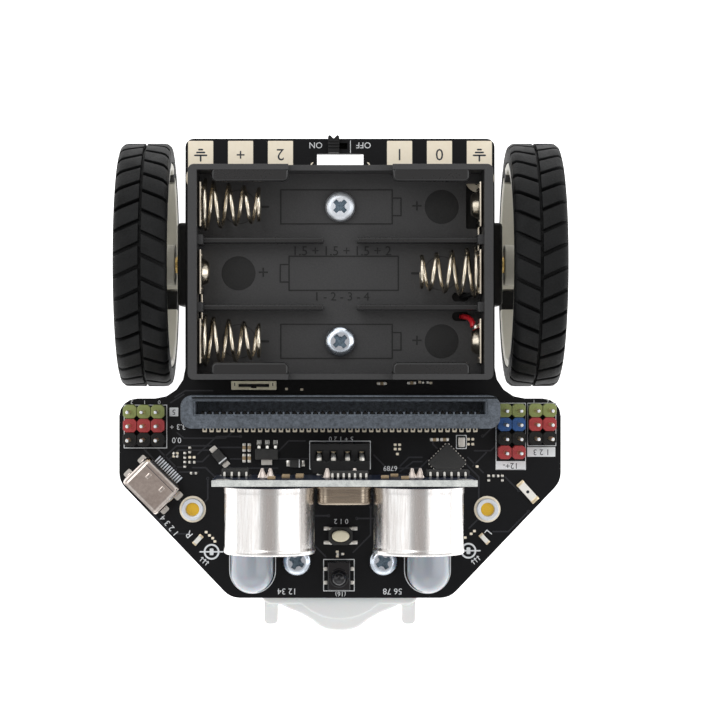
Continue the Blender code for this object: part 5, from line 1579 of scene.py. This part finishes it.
class ROBOT_OT_distance_sensor(bpy.types.Operator):
    """Plug-in distance sensor: board, two transducer cans, crystal and the parts on its back"""

    bl_idname = "robot.distance_sensor"
    bl_label = "Distance sensor"

    def execute(self, context):
        body = "distance_sensor"
        (x0, y0, z0), (x1, y1, z1) = cad("sensor_board")
        holes = [rod((x, y0 - 3, z), (x, y1 + 3, z), 0.85) for x in (x0 + 2, x1 - 2)
                 for z in (z0 + 2, z1 - 2)]
        core = combined(block((x0, y0, z0), (x1, y1, z1)), holes)
        piece("sensor_board_core", [rounded(core, 0.06, 1, 60)], finish("pale_laminate"), body=body,
              replaces=["sensor_board"])
        faces = []
        for near, far in ((y0 - 0.025, y0 + 0.1), (y1 - 0.1, y1 + 0.025)):
            face = block((x0 + 0.08, near, z0 + 0.08), (x1 - 0.08, far, z1 - 0.08))
            tools = [rod((x, y0 - 3, z), (x, y1 + 3, z), 0.95) for x in (x0 + 2, x1 - 2)
                     for z in (z0 + 2, z1 - 2)]
            faces.append(combined(face, tools))
        piece("sensor_board_faces", faces, finish("sensor_solder_mask"), body=body,
              replaces=["sensor_board"])
        rings = []
        for x in (x0 + 2, x1 - 2):
            for z in (z0 + 2, z1 - 2):
                for y, facing in ((y0 - 0.05, -1), (y1 + 0.05, 1)):
                    rings.append(spun([(1.4, 0.0), (1.4, 0.03), (0.88, 0.03), (0.88, 0.0)],
                                      (x, y - facing * 0.02, z), (0, facing, 0), 32))
        piece("sensor_hole_rings", rings, finish("solder_tin"), body=body)
        for name, _ in SIDES:
            low, high = corners(f"{name}_sensor_eye")
            centre = ((low.x + high.x) / 2, (low.z + high.z) / 2)
            radius, length = (high.x - low.x) / 2, high.y - low.y
            inner = radius - 1.1
            profile = [(0, length - 1.25), (inner, length - 1.25), (inner, length - 0.55),
                       (inner + 0.12, length - 0.2), (inner + 0.35, length - 0.04), (inner + 0.55, length),
                       (inner + 0.8, length - 0.06), (radius - 0.06, length - 0.3), (radius, length - 0.6),
                       (radius - 0.06, length - 1.0), (radius - 0.16, length - 1.3), (radius - 0.16, 1.5),
                       (radius - 0.05, 1.15), (radius - 0.05, 0.25), (radius - 0.25, 0.0), (0, 0)]
            at = (centre[0], high.y, centre[1])
            piece(f"{name}_transducer_can", [spun(profile, at, (0, -1, 0), 96)], finish("drawn_aluminium"),
                  body=body, replaces=[f"{name}_sensor_eye"], sharp=30)
            disc = spun([(0, 0.1), (inner - 0.4, 0.1), (inner - 0.3, 0.0), (0, 0)],
                        (centre[0], low.y + 1.22, centre[1]), (0, -1, 0), 48)
            cone = spun([(0, 0.55), (1.6, 0.35), (1.7, 0.0), (0, 0)], (centre[0], low.y + 1.15, centre[1]),
                        (0, -1, 0), 32)
            piece(f"{name}_transducer_cone", [disc, cone], finish("moulded_black_plastic"), body=body)
            piece(f"{name}_transducer_gauze", gauze(centre, inner + 0.05, low.y + 0.55),
                  finish("sensor_gauze"), body=body)
        (x0c, y0c, z0c), (x1c, y1c, z1c) = cad("sensor_crystal")
        can = prism(pill((x0c + 0.3, z0c + 0.3), (x1c - 0.3, z1c - 0.3), (z1c - z0c) / 2 - 0.32, 12), 0,
                    y1c - y0c, 0.45, 4)
        base = prism(pill((x0c, z0c), (x1c, z1c), (z1c - z0c) / 2 - 0.02, 12), 0, 0.55, 0.12, 2)
        whole = [can, base]
        for shape in whole:
            turn(shape, 90, "X")
            move(shape, (0, y1c, 0))
        piece("crystal_can", whole, finish("crystal_can_metal"), body=body, replaces=["sensor_crystal"],
              sharp=30)
        back = y1
        darks = [block((-20.8, back + 0.15, 46.5), (-16.1, back + 1.55, 50.5), 0.18),
                 block((14.9, back + 0.15, 47.0), (22.4, back + 1.3, 51.0), 0.18),
                 block((-1.9, back + 0.15, 52.0), (4.7, back + 1.3, 56.0), 0.18)]
        piece("sensor_chips", darks, finish("chip_moulding"), body=body)
        metal = []
        for x_first, pitch, count, z_low, z_high in ((-20.3, 1.27, 4, 46.5, 50.5),
                                                     (-1.5, 0.97, 7, 52.0, 56.0),
                                                     (15.6, 1.22, 6, 47.0, 51.0)):
            for i in range(count):
                x = x_first + i * pitch
                for z, out in ((z_low, -1), (z_high, 1)):
                    path = [(x, back + 0.85, z - out * 0.2), (x, back + 0.85, z + out * 0.35),
                            (x, back + 0.25, z + out * 0.6), (x, back + 0.15, z + out * 1.1)]
                    metal.append(tube(path, 0.21, 6))
        blob = [(0, 1.7), (0.25, 1.62), (0.45, 1.1), (0.75, 0.5), (1.1, 0), (0, 0)]
        piles = [spun(blob, (x, back, 50.6), (0, 1, 0), 20) for x in (-13.7, -12.3, 12.4, 13.8, -2.4, 2.4)]
        for i in range(4):
            metal.append(spun([(0, 0.9), (0.3, 0.85), (0.5, 0.5), (0.85, 0), (0, 0)],
                              ((i - 1.5) * PITCH, y0, 42.2), (0, -1, 0), 16))
        piece("sensor_lead_solder", piles, finish("stamped_steel"), body=body)
        piece("sensor_solder", metal, finish("solder_tin"), body=body)
        small = []
        for x, z in ((-9.6, 52.4), (-7.2, 52.4), (-9.6, 49.8), (-7.2, 47.4), (7.6, 54.0), (9.4, 48.0),
                     (11.0, 57.0), (-12.0, 57.5)):
            small.append(block((x - 0.7, back + 0.02, z - 0.4), (x + 0.7, back + 0.55, z + 0.4), 0.1))
        piece("sensor_small_parts", small, finish("chip_ceramic"), body=body)
        return {"FINISHED"}


# Wheels and drive ---------------------------------------------------------------------------------


def sector(first, last, inner, outer, steps=8):
    """The outline of a window between two spokes, about the axle."""
    return arc((0, 0), inner, first, last, steps) + arc((0, 0), outer, last, first, steps)


def on_axle(shape, side, near):
    """Stands a shape made about Z up on the axle, its base at a distance from the robot's middle."""
    return move(side_of(turn(shape, 90, "Y"), side), (side * near, AXLE.y, AXLE.z))


def tread_block(width, length, slant, low, high):
    """One slanted block of the tread: X across the tyre, Y round it, Z outwards."""
    shape = bmesh.new()
    bmesh.ops.create_grid(shape, x_segments=6, y_segments=4, size=0.5)
    bmesh.ops.scale(shape, vec=(width, length, 1), verts=shape.verts)
    bmesh.ops.translate(shape, vec=(0, 0, low), verts=shape.verts)
    raised = bmesh.ops.extrude_face_region(shape, geom=list(shape.faces))["geom"]
    bmesh.ops.translate(shape, vec=(0, 0, high - low), verts=verts_in(raised))
    bmesh.ops.recalc_face_normals(shape, faces=shape.faces)
    outline = [e for e in shape.edges if len(e.link_faces) == 2 and e.calc_face_angle() > 1.2
               and e.verts[0].co.z > high - 0.01 and e.verts[1].co.z > high - 0.01]
    bmesh.ops.bevel(shape, geom=outline, offset=0.13, segments=2, profile=0.5, affect="EDGES", material=-1)
    lean = Matrix.Identity(3)
    lean[1][0] = math.tan(slant)
    bmesh.ops.transform(shape, matrix=lean.to_4x4(), verts=shape.verts)
    return shape


def roll_up(shape, radius, middle, half_width, shoulder):
    """Wraps a flat tread, in millimetres, round the axle, its edges falling away over the shoulders."""
    for vert in shape.verts:
        x, y, depth = vert.co
        out = max(0.0, abs(x - middle) - (half_width - shoulder))
        fall = shoulder - math.sqrt(max(0.0, shoulder * shoulder - min(out, shoulder) ** 2))
        angle = y / radius
        reach = radius + depth - fall
        vert.co = Vector((x, reach * math.cos(angle), reach * math.sin(angle))) * MM
    return shape


def bend_copies(shape, centre, offsets, middle, half):
    """Copies of a tread block round the tyre, in the order of the offsets."""
    copies = []
    for offset in offsets:
        one = shape.copy()
        bmesh.ops.translate(one, vec=(centre, offset, 0), verts=one.verts)
        copies.append(roll_up(one, TYRE_R, middle, half, SHOULDER))
    shape.free()
    return joined(copies)


def axle_rod(side, near, far, radius, sides=24):
    """A rod along the axle between two distances from the robot's middle."""
    return rod((side * near, AXLE.y, AXLE.z), (side * far, AXLE.y, AXLE.z), radius, sides=sides)


def wheel_keys(side, inner, outer, width, near, far, rounding=0.0):
    shapes = []
    for i in range(4):
        low, high = sorted((side * near, side * far))
        key = block((low, inner, -width / 2), (high, outer, width / 2), rounding)
        shapes.append(move(turn(key, 250 + 90 * i, "X"), HUB))
    return shapes


class ROBOT_OT_wheels(bpy.types.Operator):
    """Moulded rims and treaded tyres"""

    bl_idname = "robot.wheels"
    bl_label = "Wheels"

    def execute(self, context):
        sizes = context.scene.robot_sizes
        depth, groove = sizes.tread_depth / MM, sizes.tread_groove / MM
        count = sizes.tread_blocks
        for name, side in SIDES:
            wheel = f"{name}_wheel"
            profile = [(0, 39.4), (3.6, 39.4), (3.8, 39.7), (4.2, 40.0), (17.1, 40.0), (17.35, 39.75),
                       (17.6, 40.0), (18.7, 40.0), (18.9, 39.8), (18.9, 31.2), (18.7, 31.0), (17.7, 31.0),
                       (17.5, 31.2), (17.5, 37.6), (16.6, 38.5), (4.4, 38.5), (3.85, 37.9), (3.75, 30.6),
                       (3.6, 30.45), (0, 30.45)]
            rim = spun(profile, HUB, (side, 0, 0), 96)
            tools = [axle_rod(side, 28.5, 38.7, 1.62)]
            for i in range(6):
                window = prism(sector(i * 60 - 15, i * 60 + 15, 6.5, 15.0), 0, 5, 0.5, 3, 60)
                tools.append(on_axle(window, side, 36.8))
            tools += wheel_keys(side, 16.5, 20.0, 4.2, 30.0, 35.9)
            rim = rounded(combined(rim, tools), 0.16, 2, 45)
            shapes = [rim]
            for i in range(6):
                rib = block((37.2, 4.0, -0.45), (38.7, 17.0, 0.45), 0.2)
                shapes.append(move(turn(side_of(rib, side), i * 60 + 30, "X"), HUB))
            piece(f"{name}_rim_moulding", shapes, finish("moulded_rim_plastic"), body=wheel,
                  replaces=[f"{name}_rim"], sharp=25)

            middle, half = 35.65, 4.75
            base_r = TYRE_R - depth
            carcass = [(19.1, 31.0), (19.3, 30.9), (base_r - 0.9, 30.9), (base_r - 0.3, 31.15),
                       (base_r, 31.7), (base_r, 39.6), (base_r - 0.3, 40.15), (base_r - 0.9, 40.4),
                       (19.3, 40.4), (19.1, 40.3)]
            shapes = [spun(carcass + [carcass[0]], HUB, (side, 0, 0), 96)]
            pitch = 2 * math.pi * TYRE_R / count
            length = pitch - groove
            width = half - 0.25 - 0.12
            flats = []
            for column, lean in ((-1, 1), (1, -1)):
                centre = middle + column * (0.25 + width / 2)
                stagger = 0.0 if column < 0 else 0.5
                slant = sizes.tread_angle * lean * side
                one = tread_block(width, length, slant, -depth - 0.25, 0.0)
                flats.append(bend_copies(one, centre, [(i + stagger) * pitch for i in range(count)], middle,
                                         half))
            shapes.append(move(side_of(joined(flats), side), HUB))
            shapes += wheel_keys(side, 17.55, 20.0, 3.7, 31.1, 35.6, 0.2)
            for radius in (20.2, 20.8):
                wall_line = [(radius + out, 40.35 + rise) for out, rise in
                             ((-0.12, 0), (-0.1, 0.11), (0.1, 0.11), (0.12, 0), (-0.12, 0))]
                shapes.append(spun(wall_line, HUB, (side, 0, 0), 96))
            piece(f"{name}_tyre_tread", shapes, finish("moulded_tyre_rubber"), body=wheel,
                  replaces=[f"{name}_tyre"])
        return {"FINISHED"}


class ROBOT_OT_drive(bpy.types.Operator):
    """Geared motors with their brackets, and the finish of the gears inside"""

    bl_idname = "robot.drive"
    bl_label = "Drive"

    def execute(self, context):
        for name, side in SIDES:
            (x0, y0, z0), (x1, y1, z1) = cad(f"{name}_motor_can")
            can = rounded(block((x0, y0, z0), (x1, y1, z1)), 1.6, 5, 60)
            bore = axle_rod(side, 5.3, 18.0, 4.45, 48)
            mouth = axle_rod(side, 17.0, 20.0, 1.3, 32)
            seam_x = side * 6.3
            seam = [block((seam_x - 0.09, low, z0 - 1), (seam_x + 0.09, high, z1 + 1))
                    for low, high in ((y0 - 1, y0 + 0.16), (y1 - 0.16, y1 + 1))]
            can = combined(can, [bore, mouth, *seam])
            piece(f"{name}_motor_case", [can], finish("stamped_steel"), replaces=[f"{name}_motor_can"],
                  sharp=30)
            tabs = [post(side * 4.3, AXLE.y + offset, 0.2, 0.7, AXLE.z - 1.2, AXLE.z + 2.4, 0.1)
                    for offset in (-3.2, 3.2)]
            piece(f"{name}_motor_terminals", tabs, finish("contact_gold"))
            coat(f"{name}_gearbox_frame", finish("turned_brass"))
            coat(f"{name}_rotor", finish("zinc_plate"))
            coat(f"{name}_idler_gear", finish("turned_brass"))
            (x0, y0, z0), (x1, y1, z1) = cad(f"{name}_motor_bracket")
            shell = rounded(block((x0, y0, z0), (x1, y1, z1)), 0.7, 3, 60)
            near, far = sorted((side * 18.0, side * 28.4))
            pocket = block((near, y0 + 1.5, 17.2), (far, y1 - 1.5, z1 + 2))
            eye = axle_rod(side, 26.0, 32.0, 2.3, 32)
            slot_low, slot_high = sorted((side * 22.4, side * 26.8))
            slots = [block((slot_low, low, 18.6), (slot_high, high, 24.6), 0.3)
                     for low, high in ((y0 - 1, y0 + 0.35), (y1 - 0.35, y1 + 1))]
            piece(f"{name}_bracket_moulding",
                  [rounded(combined(shell, [pocket, eye, *slots]), 0.15, 2, 50)],
                  finish("moulded_black_plastic"), replaces=[f"{name}_motor_bracket"],
                  sharp=30)
            coat(f"{name}_output_shaft", finish("turned_brass"))
        return {"FINISHED"}


# Ball caster --------------------------------------------------------------------------------------


class ROBOT_OT_caster(bpy.types.Operator):
    """Ball caster with its bell-shaped bumper"""

    bl_idname = "robot.caster"
    bl_label = "Ball caster"

    def execute(self, context):
        low, high = 4.9, BOARD_LOW - 0.3
        cup = spun([(0, high), (10.1, high), (10.3, high - 0.2), (10.3, 6.6), (10.05, 5.6),
                    (9.4, low + 0.1), (9.0, low), (0, low)], (0, -33, 0), (0, 0, 1), 96)
        seat = ball(BALL_CENTRE, 7.85, 64)
        cup = combined(cup, [seat])
        shapes = [rounded(cup, 0.2, 2, 45)]
        tools = [rod((side * SCREW_X, SCREW_Y, 18.4), (side * SCREW_X, SCREW_Y, 30), 1.4) for side in SIGNS]
        flange = prism(pill((-14.5, -40.6), (14.5, -25.5), 2.2, 6), 24.8, high - 0.05, 0.5, 3)
        shapes.append(combined(flange, tools))
        half = [(11.4, -36.5), (11.4, -38.6), (11.25, -39.8), (10.6, -40.8), (9.2, -41.45), (7.2, -42.25),
                (5.2, -43.4), (3.7, -44.6), (2.6, -45.1), (1.5, -45.33), (0.6, -45.4)]
        nose = half + [(-x, y) for x, y in half[::-1]]
        shapes.append(prism(nose, 17.9, 26.9, 0.55, 3, 50))
        for side in SIGNS:
            near, far = sorted((side * 11.4, side * 13.95))
            shapes.append(prism(pill((near, -44.3), (far, -36.0), 0.9, 5), 17.9, 26.0, 0.3, 2))
            gusset = block((near + 0.5, -41.0, 24.0), (far - 0.5, -34.0, 26.6), 0.3)
            shapes.append(gusset)
        for angle in range(0, 360, 45):
            rib = block((9.9, -0.6, 8.0), (10.75, 0.6, 25.5), 0.25)
            shapes.append(set_down(rib, angle + 22.5, *CASTER_MIDDLE))
        piece("caster_moulding", shapes, finish("moulded_caster_plastic"), replaces=["caster_housing"],
              sharp=30)
        piece("caster_steel_ball", [ball(BALL_CENTRE, 7.5, 64)], finish("zinc_plate"), body="caster_roller",
              replaces=["caster_ball"])
        return {"FINISHED"}


# Add-on -------------------------------------------------------------------------------------------


STEPS = (
    ROBOT_OT_stage, ROBOT_OT_board, ROBOT_OT_battery_box, ROBOT_OT_cell_contacts, ROBOT_OT_fasteners,
    ROBOT_OT_edge_connector, ROBOT_OT_port_headers, ROBOT_OT_usb_socket, ROBOT_OT_sockets,
    ROBOT_OT_board_chips, ROBOT_OT_lamps_and_eyes, ROBOT_OT_switches, ROBOT_OT_distance_sensor,
    ROBOT_OT_wheels, ROBOT_OT_drive, ROBOT_OT_caster,
)


class VIEW3D_PT_robot(bpy.types.Panel):
    """Colours, sizes and pieces of the robot"""

    bl_idname = "VIEW3D_PT_robot"
    bl_label = "Line Follower Robot"
    bl_space_type = "VIEW_3D"
    bl_region_type = "UI"
    bl_category = "Robot"

    def draw(self, context):
        for group in (context.scene.robot_colours, context.scene.robot_sizes):
            box = self.layout.box()
            for label in group.__annotations__:
                box.prop(group, label)
        column = self.layout.column(align=True)
        for step in STEPS:
            column.operator(step.bl_idname)


CLASSES = (RobotColours, RobotSizes, *STEPS, VIEW3D_PT_robot)


def register():
    for item in CLASSES:
        bpy.utils.register_class(item)
    bpy.types.Scene.robot_colours = bpy.props.PointerProperty(type=RobotColours)
    bpy.types.Scene.robot_sizes = bpy.props.PointerProperty(type=RobotSizes)


def unregister():
    del bpy.types.Scene.robot_sizes
    del bpy.types.Scene.robot_colours
    for item in reversed(CLASSES):
        bpy.utils.unregister_class(item)


def main():
    register()
    for step in STEPS:
        family, action = step.bl_idname.split(".")
        getattr(getattr(bpy.ops, family), action)()


if __name__ == "__main__":
    main()
